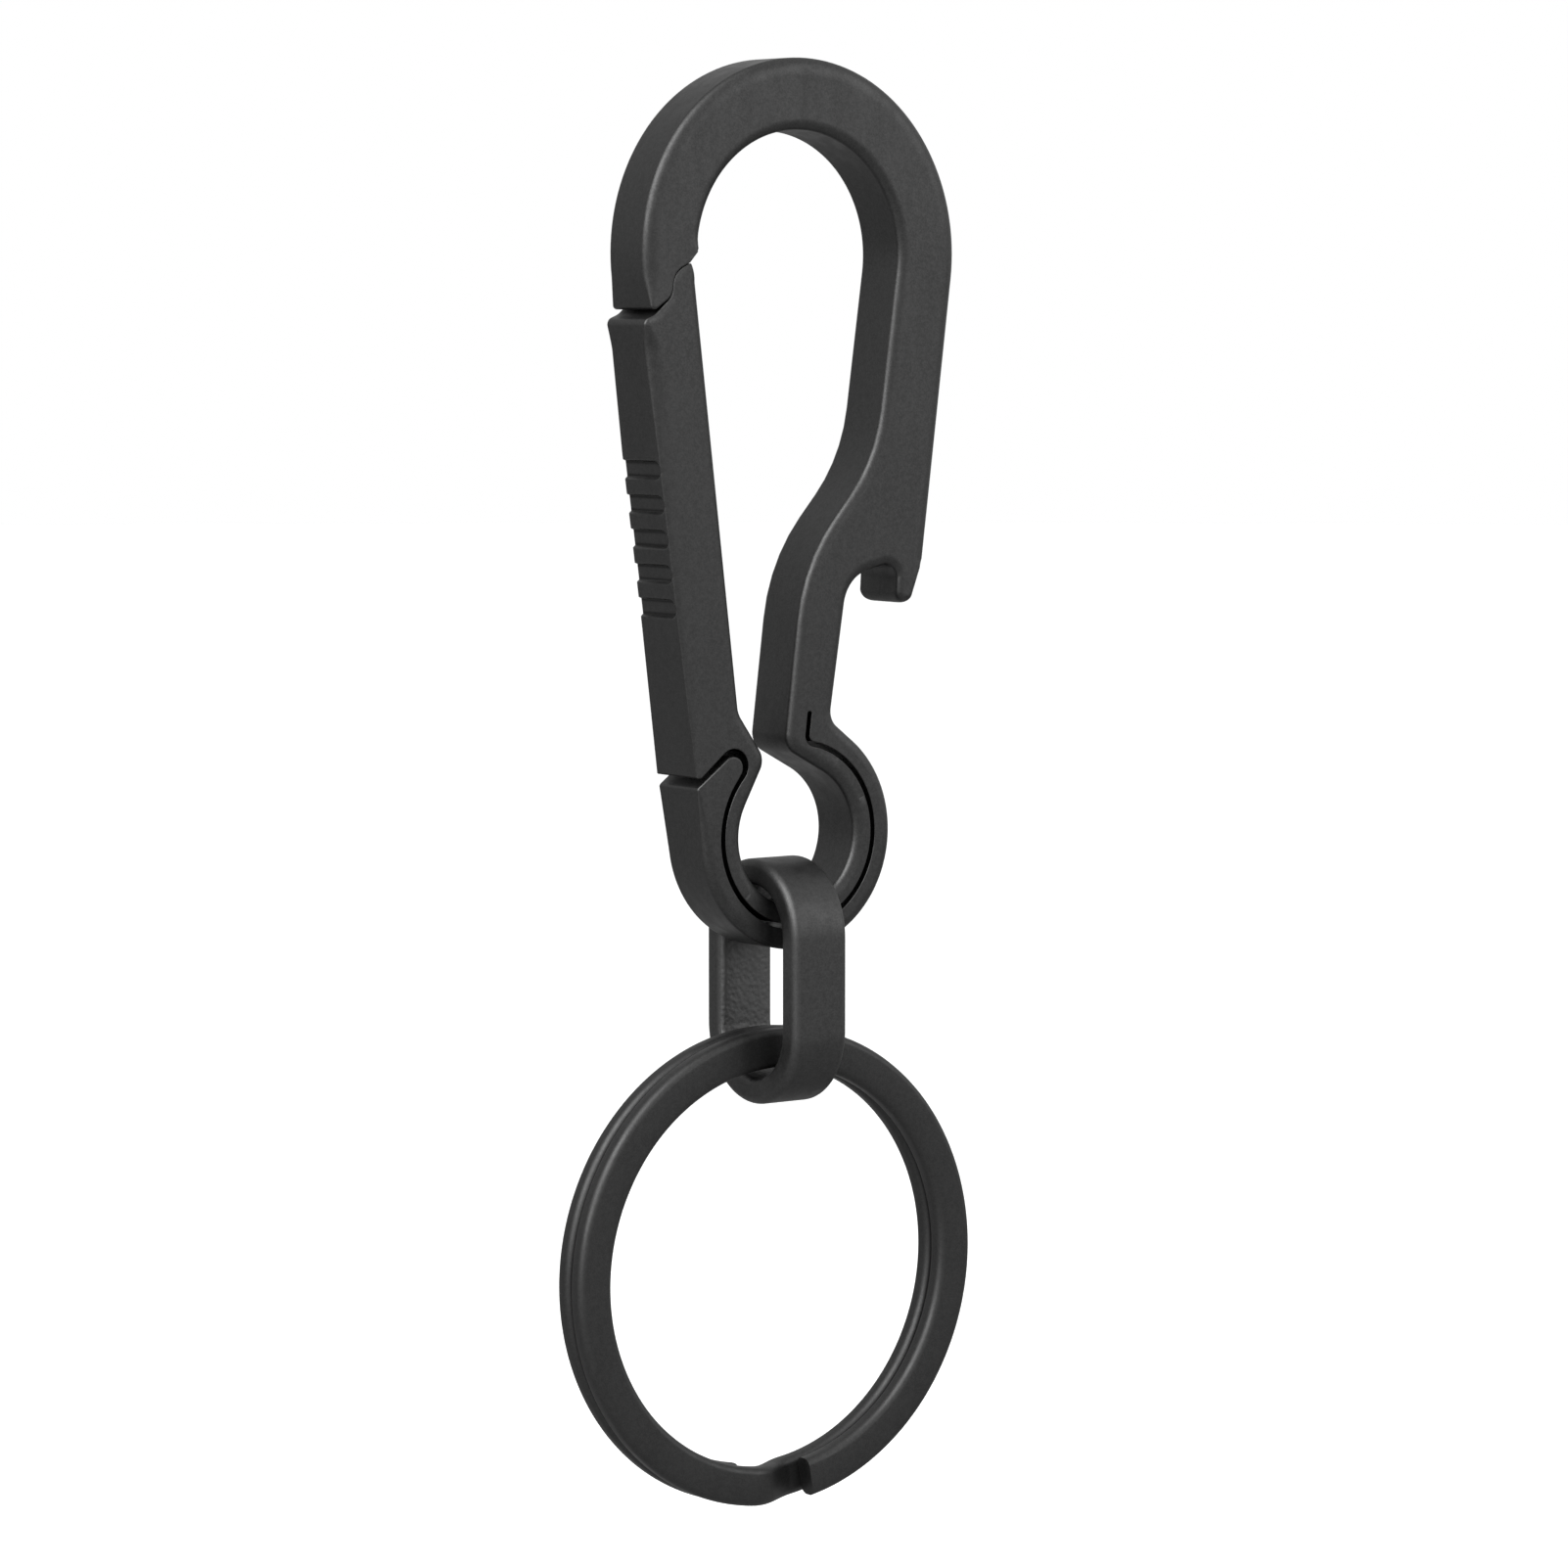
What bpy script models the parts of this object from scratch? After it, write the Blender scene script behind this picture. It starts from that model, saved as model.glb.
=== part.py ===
"""Carabiner keyring: a one-piece spring carabiner, a connector link and a split ring.

The carabiner is cut from one plate. Its gate is carried by a thin leaf that runs round inside the
lower ring, so the leaf is the hinge and the return spring in one. The leaf is modelled as short arcs
between the frame and the gate. It bends a little at each gap between them, so each arc, and last the
gate, turns about the mean of the bending points that come before it.

Drawing axes: x to the right, z up, measured from the centre of the lower ring. The plate lies in
the XZ plane and is centred on Y = 0. The world origin is the point that the keyring hangs from,
the top of the arch's inside.
"""
import math

import bmesh
import bpy
from mathutils import Matrix, Vector

MM = 0.001

# Plate
PLATE = 4.5 * MM                 # thickness of the carabiner
RIM = 0.65 * MM                  # rounding of the plate's handled edges
EDGE_BREAK = 0.05 * MM           # rounding of the edges left by the cuts
CUT_EDGE = 0.15 * MM             # rounding of the edges at the nose joint
CUT_GAP = 0.3 * MM               # clearance between pieces that were cut from one plate

# Lower ring, from its hole outwards: leaf spring, slot, wall
RING_HOLE = 4.65 * MM            # radius
LEAF_THICKNESS = 1.265 * MM
SLOT_WIDTH = 0.35 * MM
RING_WALL = 1.335 * MM
LEAF_START_DEG = 56.0            # first bending point, counted from +x towards +z
LEAF_END_DEG = -202.0            # last bending point, going clockwise from the first
LEAF_PIECES = 8

# Arch
THROAT_CENTRE = (0.2 * MM, 38.1 * MM)
THROAT_RADIUS = 8.1 * MM
ARCH_SIDE = 4.45 * MM            # thickness at the sides
ARCH_CROWN = 4.65 * MM           # thickness at the top
ARCH_SHIFT = (0.2 * MM, 0.05 * MM)   # centre of the arch's outside from the throat's centre
NOSE_DROP_DEG = 187.0            # where the nose leaves the arch's ellipse

# Nose, from its inner corner: the heel outside, and the S-shaped joint between the two
NOSE_INNER_DEG = 178.25
NOSE_HEEL = (-3.5 * MM, -3.6 * MM)
NOSE_JOINT = [(-2.2 * MM, -2.85 * MM), (-1.8 * MM, -1.1 * MM), (-0.65 * MM, -0.7 * MM)]
NOSE_HEEL_RADIUS = 0.25 * MM
NOSE_TIP_RADIUS = 0.3 * MM
JOINT_LOWER_RADIUS = 0.7 * MM    # the joint's bend near the heel
JOINT_UPPER_RADIUS = 0.6 * MM    # the joint's bend near the inside

# Spine, neck and bottle opener
SPINE_LEAN_DEG = 7.3             # outer edge, off vertical
SHOULDER = (6.5 * MM, 24.7 * MM)
SHOULDER_RADIUS = 11.0 * MM
WAIST = (0.57 * MM, 17.9 * MM)
WAIST_RADIUS = 12.4 * MM
NECK_LEAN_DEG = 7.07
NECK_WIDTH = 3.45 * MM
NECK_FOOT_RISE = 1.15 * MM       # height of the neck's inner foot above the hole
NECK_FOOT_RADIUS = 1.1 * MM
NECK_FLARE_DEG = 52.0            # where the neck's outer side meets the ring
NECK_FLARE_RADIUS = 1.3 * MM
ROOT_THICKNESS = 1.385 * MM      # of the leaf where it leaves the neck
ROOT_SLOT_RISE = 0.55 * MM       # height of the slot's end above the lower ring
ROOT_CORNER_RADIUS = 0.4 * MM
SLOT_END_ROUNDING = 0.45         # share of the slot's width
OPENER_MOUTH = (4.2 * MM, 16.9 * MM)
OPENER_MOUTH_RADIUS = 2.6 * MM
OPENER_CEILING = (8.3 * MM, 17.85 * MM)
OPENER_CEILING_RADIUS = 0.9 * MM
TOOTH_INNER = (8.15 * MM, 15.05 * MM)
TOOTH_OUTER = (9.45 * MM, 15.0 * MM)
TOOTH_RADIUS = 0.7 * MM
TOOTH_HEEL_Z = 17.6 * MM
TOOTH_HEEL_RADIUS = 3.0 * MM
TOOTH_RIM = 0.45 * MM

# Gate and the stub that it closes round
STUB_TIP_DEG = 138.3
STUB_TIP_RADIUS = 0.77 * MM
STUB_SHOULDER_Z = 3.45 * MM
STUB_SHOULDER_RADIUS = 0.25 * MM
STUB_GAP = 0.1 * MM              # extra room over the stub's tip
GATE_SHOULDER = (-0.72 * MM, -0.95 * MM)   # from the nose's heel
GATE_SHOULDER_RADIUS = 0.5 * MM
GATE_HEEL_GAP = 0.45 * MM        # under the nose's heel
GATE_HEEL_RADIUS = 1.0 * MM
GATE_TIP = (-0.17 * MM, -1.0 * MM)   # from the nose's inner corner
GATE_TIP_RADIUS = 0.35 * MM
GATE_CREST_DROP = 0.15 * MM      # from the gate's tip to its crest on the nose's side
GATE_FOOT_RISE = 0.7 * MM        # height of the gate's foot above the stub's shoulder
GATE_FOOT_WIDTH = 0.4 * MM
GATE_FOOT_RADIUS = 0.12 * MM
GATE_BULGE = (2.73 * MM, 0.47 * MM)  # from the stub's tip
GATE_BULGE_RADIUS = 1.3 * MM
GATE_WAIST = (-2.16 * MM, 3.1 * MM)  # from the bulge
GATE_WAIST_RADIUS = 1.5 * MM
GATE_ROOT_DEG = 152.0            # where the gate's inner edge leaves the hole
GRIPS = 5
GRIP_TOP_DROP = 10.5 * MM        # from the nose's heel to the middle of the top grip
GRIP_PITCH = 2.27 * MM
GRIP_WIDTH = 1.15 * MM
GRIP_DEPTH = 0.3 * MM
GRIP_LAND = 0.62 * MM            # plain edge left between the grips and the front face

# Connector link
LINK_X = -0.2 * MM
LINK_WIDTH = 4.3 * MM
LINK_STRIP = 1.75 * MM
LINK_SIDE_ROOM = 1.1 * MM        # between the plate's faces and the link's legs
LINK_SPAN = 5.3 * MM             # between the bottom of the lower ring and the split ring
LINK_EDGE = 0.3 * MM
REST_CLEARANCE = 0.2 * MM        # where a hanging piece bears on the one above

# Split ring
SPLIT_X = -0.9 * MM
SPLIT_RADIUS = 16.0 * MM
SPLIT_BAND = 2.6 * MM            # radial width of the wire
SPLIT_COIL = 1.35 * MM           # thickness of one coil
SPLIT_COIL_GAP = 0.14 * MM
SPLIT_EDGE = 0.25 * MM
SPLIT_START_DEG = -80.0          # end of the front coil
SPLIT_JOG_DEG = 22.0             # length of the step from the front coil to the back one
SPLIT_END_GAP_DEG = 2.5

HOLE = (0.0, 0.0)
ARC_STEP_DEG = 7.0
CORNER_STEP_DEG = 12.0
LINK_STEP_DEG = 7.5
SPLIT_STEP_DEG = 5.0
RIM_STEPS = 3
SHARP_TURN_DEG = 25.0            # a sharper turn of an outline gets a mitred rim
FILLET_SHARE = 0.98              # of the shorter side that a fillet may take up

LEAF_OUTER = RING_HOLE + LEAF_THICKNESS
LEAF_MIDDLE = RING_HOLE + LEAF_THICKNESS / 2
WALL_INNER = LEAF_OUTER + SLOT_WIDTH
RING_OUTER = WALL_INNER + RING_WALL
LEAF_STEP_DEG = (LEAF_END_DEG - LEAF_START_DEG) / LEAF_PIECES
LEAF_GAP_DEG = math.degrees(CUT_GAP / LEAF_MIDDLE)


def on_circle(centre, radius, degrees):
    angle = math.radians(degrees)
    return (centre[0] + radius * math.cos(angle), centre[1] + radius * math.sin(angle))


def arc(centre, radius, start, end, rim, rise=None):
    """Stations along an arc from start to end degrees; a rise other than radius makes an ellipse."""
    steps = max(1, math.ceil(abs(end - start) / ARC_STEP_DEG))
    stations = []
    for step in range(steps + 1):
        angle = math.radians(start + (end - start) * step / steps)
        x = centre[0] + radius * math.cos(angle)
        z = centre[1] + (radius if rise is None else rise) * math.sin(angle)
        stations.append((x, z, 0.0, rim))
    return stations


def degrees_of(point):
    return math.degrees(math.atan2(point[1], point[0]))


def tangent_degrees(point, centre, radius, side):
    """Direction from centre to where the line from point touches the circle; side is 1 or -1."""
    dx, dz = point[0] - centre[0], point[1] - centre[1]
    spread = math.acos(radius / math.hypot(dx, dz))
    return math.degrees(math.atan2(dz, dx) + side * spread)


def sag(radius, reach):
    """How far a circle falls away from its tangent at this distance along it."""
    return radius - math.sqrt(radius * radius - reach * reach)


def beside(point, offset):
    return (point[0] + offset[0], point[1] + offset[1])


ORIGIN = on_circle(THROAT_CENTRE, THROAT_RADIUS, 90.0)
ARCH_CENTRE = beside(THROAT_CENTRE, ARCH_SHIFT)
ARCH_HALF_WIDTH = THROAT_RADIUS + ARCH_SIDE
ARCH_RISE = THROAT_RADIUS + ARCH_CROWN
INNER_CORNER = on_circle(THROAT_CENTRE, THROAT_RADIUS, NOSE_INNER_DEG)
HEEL_CORNER = beside(INNER_CORNER, NOSE_HEEL)
JOINT_CORNERS = [beside(INNER_CORNER, offset) for offset in NOSE_JOINT]
GATE_SHOULDER_CORNER = beside(HEEL_CORNER, GATE_SHOULDER)
GATE_TIP_CORNER = beside(INNER_CORNER, GATE_TIP)
GATE_TOUCH_DEG = tangent_degrees(GATE_SHOULDER_CORNER, HOLE, RING_OUTER, 1)
GATE_LEAN_DEG = GATE_TOUCH_DEG % 360.0 - 180.0
STUB_TIP = on_circle(HOLE, WALL_INNER + STUB_TIP_RADIUS, STUB_TIP_DEG)
BULGE_CORNER = beside(STUB_TIP, GATE_BULGE)

# The link bears on the rims of the leaf, and the split ring on the rims of the link
LINK_DEPTH = PLATE + 2 * (LINK_SIDE_ROOM + LINK_STRIP)
LINK_BEND = LINK_DEPTH / 2 - LINK_STRIP
LINK_REST = (sag(LINK_BEND, PLATE / 2 - RIM / 2) + sag(RING_HOLE, LINK_WIDTH / 2 + abs(LINK_X) - LINK_EDGE)
             + REST_CLEARANCE)
LINK_TOP_Z = LINK_REST + LINK_STRIP - RING_HOLE
SPLIT_DEPTH = 2 * SPLIT_COIL + SPLIT_COIL_GAP
SPLIT_INNER = SPLIT_RADIUS - SPLIT_BAND
SPLIT_REST = (sag(LINK_BEND, SPLIT_DEPTH / 2 - SPLIT_EDGE / 2)
              + sag(SPLIT_INNER, LINK_WIDTH / 2 + abs(SPLIT_X - LINK_X) - LINK_EDGE) + REST_CLEARANCE)
LINK_BOTTOM_Z = -(RING_OUTER + LINK_SPAN + SPLIT_BAND + SPLIT_REST + LINK_STRIP)
SPLIT_Z = LINK_BOTTOM_Z + LINK_STRIP + SPLIT_REST - SPLIT_INNER


def rounded(stations):
    """Turn each station with a corner radius into an arc that touches both of its sides."""
    points = []
    count = len(stations)
    for i, (x, z, radius, rim) in enumerate(stations):
        if not radius:
            points.append((Vector((x, z)), rim))
            continue
        here = Vector((x, z))
        before = Vector(stations[i - 1][:2]) - here
        after = Vector(stations[(i + 1) % count][:2]) - here
        corner = before.angle(after)
        reach = radius / math.tan(corner / 2)
        limit = min(before.length, after.length) * FILLET_SHARE
        if reach > limit:
            radius *= limit / reach
            reach = limit
        middle = (before.normalized() + after.normalized()).normalized()
        centre = here + middle * (radius / math.sin(corner / 2))
        first = here + before.normalized() * reach - centre
        turn = math.pi - corner
        if first.y * before.x < first.x * before.y:
            turn = -turn
        steps = max(2, math.ceil(math.degrees(abs(turn)) / CORNER_STEP_DEG))
        rim_before = stations[i - 1][3]
        for step in range(steps + 1):
            part = step / steps
            spot = Matrix.Rotation(turn * part, 2) @ first + centre
            points.append((spot, rim_before + (rim - rim_before) * part))
    return points


def inset(rim, depth):
    """How far a rounded edge has drawn back at this depth below the face."""
    if depth >= rim:
        return 0.0
    return rim - math.sqrt(rim * rim - (rim - depth) ** 2)


def rim_levels(points):
    """For each corner of an outline, its spots and depths from the straight wall to the face."""
    sharp_turn = math.radians(SHARP_TURN_DEG)
    levels = []
    count = len(points)
    for i, (spot, rim_out) in enumerate(points):
        rim_in = points[i - 1][1]
        into = (spot - points[i - 1][0]).normalized()
        out = (points[(i + 1) % count][0] - spot).normalized()
        normal_in = Vector((-into.y, into.x))
        normal_out = Vector((-out.y, out.x))
        if into.angle(out) < sharp_turn:
            rim_in = rim_out = (rim_in + rim_out) / 2
        deepest = max(rim_in, rim_out)
        cross = normal_in.x * normal_out.y - normal_in.y * normal_out.x
        column = []
        for step in range(RIM_STEPS + 1):
            depth = deepest * (1 - math.sin(math.pi / 2 * step / RIM_STEPS))
            shift_in, shift_out = inset(rim_in, depth), inset(rim_out, depth)
            if abs(cross) < 1e-3:
                shift = normal_in * shift_in
            else:
                shift = Vector((
                    (shift_in * normal_out.y - shift_out * normal_in.y) / cross,
                    (shift_out * normal_in.x - shift_in * normal_out.x) / cross))
            column.append((spot + shift, depth))
        levels.append(column)
    return levels


def plate_mesh(name, outline, pivot):
    """A plate of the given outline, counter-clockwise from the front, with rounded rims."""
    columns = rim_levels(rounded(outline))
    half = PLATE / 2
    mesh = bmesh.new()
    rings = []
    order = [(step, -1) for step in range(RIM_STEPS, -1, -1)]
    order += [(step, 1) for step in range(RIM_STEPS + 1)]
    for step, side in order:
        ring = []
        for column in columns:
            spot, depth = column[step]
            place = (spot.x - pivot[0], side * (half - depth), spot.y - pivot[1])
            ring.append(mesh.verts.new(place))
        rings.append(ring)
    count = len(columns)
    for lower, upper in zip(rings, rings[1:]):
        for i in range(count):
            j = (i + 1) % count
            mesh.faces.new((lower[i], upper[i], upper[j], lower[j]))
    mesh.faces.new(rings[0])
    mesh.faces.new(list(reversed(rings[-1])))
    bmesh.ops.recalc_face_normals(mesh, faces=mesh.faces)
    data = bpy.data.meshes.new(name)
    mesh.to_mesh(data)
    mesh.free()
    return data


def rounded_bar(width, height, edge):
    """Section of a flat bar with rounded edges, counter-clockwise."""
    section = []
    for sign_u, sign_v, start in ((1, 1, 0), (-1, 1, 90), (-1, -1, 180), (1, -1, 270)):
        middle = (sign_u * (width / 2 - edge), sign_v * (height / 2 - edge))
        for degrees in (start, start + 30, start + 60, start + 90):
            section.append(on_circle(middle, edge, degrees))
    return section


def swept_mesh(name, stations, section, closed):
    """Sweep a section along stations, each a place with the directions of u and v."""
    mesh = bmesh.new()
    rings = []
    for place, axis_u, axis_v in stations:
        rings.append([mesh.verts.new(place + axis_u * u + axis_v * v) for u, v in section])
    pairs = list(zip(rings, rings[1:]))
    if closed:
        pairs.append((rings[-1], rings[0]))
    count = len(section)
    for this, following in pairs:
        for i in range(count):
            j = (i + 1) % count
            mesh.faces.new((this[i], this[j], following[j], following[i]))
    if not closed:
        mesh.faces.new(list(reversed(rings[0])))
        mesh.faces.new(rings[-1])
    bmesh.ops.recalc_face_normals(mesh, faces=mesh.faces)
    data = bpy.data.meshes.new(name)
    mesh.to_mesh(data)
    mesh.free()
    return data


def metal(name, colour, roughness):
    material = bpy.data.materials.new(name)
    material.use_nodes = True
    shader = material.node_tree.nodes["Principled BSDF"]
    shader.inputs["Base Color"].default_value = (*colour, 1.0)
    shader.inputs["Metallic"].default_value = 1.0
    shader.inputs["Roughness"].default_value = roughness
    return material


def add_piece(name, data, material, pivot, depth=0.0):
    """Place a mesh whose own origin is its pivot, given in drawing axes."""
    data.materials.append(material)
    data.shade_smooth()
    data.set_sharp_from_angle(angle=math.radians(35))
    piece = bpy.data.objects.new(name, data)
    piece.location = (pivot[0] - ORIGIN[0], depth, pivot[1] - ORIGIN[1])
    bpy.context.scene.collection.objects.link(piece)
    return piece


def root_outer_x(z):
    """The leaf's outer side where it runs down beside the neck, parallel to the neck's inner side."""
    return neck_inner_x(z) + ROOT_THICKNESS


def neck_inner_x(z):
    return WAIST[0] - (WAIST[1] - z) * math.tan(math.radians(NECK_LEAN_DEG))


def spine_outer_x(z):
    """The spine's outer side, which touches the arch's ellipse."""
    angle = spine_leave_degrees()
    top = arch_spot(angle)
    return top[0] - (top[1] - z) * math.tan(math.radians(SPINE_LEAN_DEG))


def spine_leave_degrees():
    lean = math.tan(math.radians(SPINE_LEAN_DEG))
    return -math.degrees(math.atan(lean * ARCH_RISE / ARCH_HALF_WIDTH))


def arch_spot(degrees):
    angle = math.radians(degrees)
    return (ARCH_CENTRE[0] + ARCH_HALF_WIDTH * math.cos(angle),
            ARCH_CENTRE[1] + ARCH_RISE * math.sin(angle))


def gate_outer_x(z):
    """The outer side of gate and stub, which touches the lower ring."""
    lean = math.radians(GATE_LEAN_DEG)
    return -RING_OUTER / math.cos(lean) - z * math.tan(lean)


def joint_line(side):
    """The S-shaped joint between nose and gate, moved half the gap to one side of its middle."""
    line = [HEEL_CORNER] + JOINT_CORNERS + [INNER_CORNER]
    moved = []
    for before, here, after in zip(line, line[1:], line[2:]):
        along = Vector((after[0] - before[0], after[1] - before[1])).normalized()
        moved.append((here[0] - along.y * side * CUT_GAP / 2, here[1] + along.x * side * CUT_GAP / 2))
    return moved


def frame_outline():
    """Arch, spine, opener, neck, ring wall and stub, starting at the spine and going over the arch."""
    leave = spine_leave_degrees()
    outline = arc(ARCH_CENTRE, ARCH_HALF_WIDTH, leave, NOSE_DROP_DEG, RIM, ARCH_RISE)
    outline.append((*HEEL_CORNER, NOSE_HEEL_RADIUS, CUT_EDGE))
    nose = joint_line(1)
    outline.append((*nose[0], JOINT_LOWER_RADIUS, CUT_EDGE))
    outline.append((*nose[1], JOINT_UPPER_RADIUS, CUT_EDGE))
    outline.append((*nose[2], NOSE_TIP_RADIUS, RIM / 2))
    outline.append((*INNER_CORNER, NOSE_TIP_RADIUS, RIM))
    end = tangent_degrees(SHOULDER, THROAT_CENTRE, THROAT_RADIUS, 1)
    outline += arc(THROAT_CENTRE, THROAT_RADIUS, NOSE_INNER_DEG - ARC_STEP_DEG, end, RIM)
    outline.append((*SHOULDER, SHOULDER_RADIUS, RIM))
    outline.append((*WAIST, WAIST_RADIUS, RIM))

    foot_z = RING_HOLE + NECK_FOOT_RISE
    foot = (neck_inner_x(foot_z), foot_z)
    touch = tangent_degrees(foot, HOLE, RING_HOLE, -1)
    cut = LEAF_START_DEG + LEAF_GAP_DEG / 2
    outline.append((*foot, NECK_FOOT_RADIUS, RIM))
    outline += arc(HOLE, RING_HOLE, touch, cut, RIM)[:-1]
    outline.append((*on_circle(HOLE, RING_HOLE, cut), 0.0, EDGE_BREAK))

    slot_top = RING_OUTER + ROOT_SLOT_RISE
    slot_end = SLOT_WIDTH * SLOT_END_ROUNDING
    root = leaning_crossing(0.0, LEAF_OUTER)
    wall = leaning_crossing(SLOT_WIDTH, WALL_INNER)
    outline += arc(HOLE, LEAF_OUTER, cut, degrees_of(root) - ARC_STEP_DEG, EDGE_BREAK)
    outline.append((*root, ROOT_CORNER_RADIUS + SLOT_WIDTH, EDGE_BREAK))
    outline.append((root_outer_x(slot_top), slot_top, slot_end, EDGE_BREAK))
    outline.append((root_outer_x(slot_top) + SLOT_WIDTH, slot_top, slot_end, EDGE_BREAK))
    outline.append((*wall, ROOT_CORNER_RADIUS, EDGE_BREAK))

    shoulder = (gate_outer_x(STUB_SHOULDER_Z), STUB_SHOULDER_Z)
    slope = tangent_degrees(shoulder, STUB_TIP, STUB_TIP_RADIUS, -1)
    outline += arc(HOLE, WALL_INNER, degrees_of(wall) - ARC_STEP_DEG, STUB_TIP_DEG - 360.0,
                   EDGE_BREAK)[:-1]
    outline += arc(STUB_TIP, STUB_TIP_RADIUS, STUB_TIP_DEG - 180.0, slope % 360.0, EDGE_BREAK)
    outline.append((*shoulder, STUB_SHOULDER_RADIUS, RIM))

    outline += arc(HOLE, RING_OUTER, GATE_TOUCH_DEG % 360.0, 360.0 + NECK_FLARE_DEG, RIM)
    flare = crossing(on_circle(HOLE, RING_OUTER, NECK_FLARE_DEG), NECK_FLARE_DEG + 90.0,
                     (neck_inner_x(0.0) + NECK_WIDTH, 0.0), 90.0 - NECK_LEAN_DEG)
    outline.append((*flare, NECK_FLARE_RADIUS, RIM))
    outline.append((*OPENER_MOUTH, OPENER_MOUTH_RADIUS, RIM))
    outline.append((*OPENER_CEILING, OPENER_CEILING_RADIUS, TOOTH_RIM))
    outline.append((*TOOTH_INNER, TOOTH_RADIUS, TOOTH_RIM))
    outline.append((*TOOTH_OUTER, TOOTH_RADIUS, TOOTH_RIM))
    outline.append((spine_outer_x(TOOTH_HEEL_Z), TOOTH_HEEL_Z, TOOTH_HEEL_RADIUS, RIM))
    return outline


def leaning_crossing(offset, radius):
    """Where a line beside the leaf's root, parallel to the neck, crosses a circle round the hole."""
    lean = math.radians(NECK_LEAN_DEG)
    foot = root_outer_x(0.0) + offset
    along = math.sqrt(radius ** 2 - (foot * math.cos(lean)) ** 2) - foot * math.sin(lean)
    return (foot + along * math.sin(lean), along * math.cos(lean))


def crossing(first, first_deg, second, second_deg):
    """Where two lines cross, each given by a point and a direction."""
    ux, uz = math.cos(math.radians(first_deg)), math.sin(math.radians(first_deg))
    vx, vz = math.cos(math.radians(second_deg)), math.sin(math.radians(second_deg))
    dx, dz = second[0] - first[0], second[1] - first[1]
    reach = (dx * vz - dz * vx) / (ux * vz - uz * vx)
    return (first[0] + ux * reach, first[1] + uz * reach)


def bending_centre(last):
    """The mean of the leaf's bending points from the first to this one."""
    spots = [on_circle(HOLE, LEAF_MIDDLE, LEAF_START_DEG + LEAF_STEP_DEG * index)
             for index in range(last + 1)]
    return (sum(x for x, _ in spots) / len(spots), sum(z for _, z in spots) / len(spots))


def leaf_outline(index):
    """One short arc of the leaf spring, between two bending points."""
    high = LEAF_START_DEG + LEAF_STEP_DEG * index - LEAF_GAP_DEG / 2
    low = LEAF_START_DEG + LEAF_STEP_DEG * (index + 1) + LEAF_GAP_DEG / 2
    outline = arc(HOLE, LEAF_OUTER, low, high, EDGE_BREAK)
    outline += arc(HOLE, RING_HOLE, high, low, RIM)[:-1]
    outline.append((*on_circle(HOLE, RING_HOLE, low), 0.0, EDGE_BREAK))
    return outline


def gate_outline():
    """From the shoulder down the outer side, round the stub and up the inner side to the tip."""
    outline = [(*GATE_SHOULDER_CORNER, GATE_SHOULDER_RADIUS, RIM)]
    foot_z = STUB_SHOULDER_Z + GATE_FOOT_RISE
    foot_x = gate_outer_x(foot_z)
    foot = (foot_x + GATE_FOOT_WIDTH, foot_z)
    outline.append((foot_x, foot_z, GATE_FOOT_RADIUS, EDGE_BREAK))
    outline.append((*foot, GATE_FOOT_RADIUS, EDGE_BREAK))

    cavity = (STUB_TIP[0], STUB_TIP[1] + STUB_GAP)
    cavity_radius = math.hypot(*cavity) - LEAF_OUTER
    slope = tangent_degrees(foot, cavity, cavity_radius, -1)
    outline += arc(cavity, cavity_radius, slope % 360.0, degrees_of(cavity) - 180.0, EDGE_BREAK)[:-1]
    cut = LEAF_END_DEG + 360.0 - LEAF_GAP_DEG / 2
    outline += arc(HOLE, LEAF_OUTER, degrees_of(cavity), cut, EDGE_BREAK)
    outline.append((*on_circle(HOLE, RING_HOLE, cut), 0.0, RIM))
    outline.append((*on_circle(HOLE, RING_HOLE, GATE_ROOT_DEG), 0.0, RIM))
    outline.append((*BULGE_CORNER, GATE_BULGE_RADIUS, RIM))
    outline.append((*beside(BULGE_CORNER, GATE_WAIST), GATE_WAIST_RADIUS, RIM))
    outline.append((*GATE_TIP_CORNER, GATE_TIP_RADIUS, CUT_EDGE))
    lower, upper, _ = joint_line(-1)
    outline.append((upper[0], GATE_TIP_CORNER[1] - GATE_CREST_DROP, JOINT_UPPER_RADIUS, CUT_EDGE))
    outline.append((*lower, JOINT_LOWER_RADIUS, CUT_EDGE))
    outline.append((HEEL_CORNER[0], HEEL_CORNER[1] - GATE_HEEL_GAP, GATE_HEEL_RADIUS, CUT_EDGE))
    return outline


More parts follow.
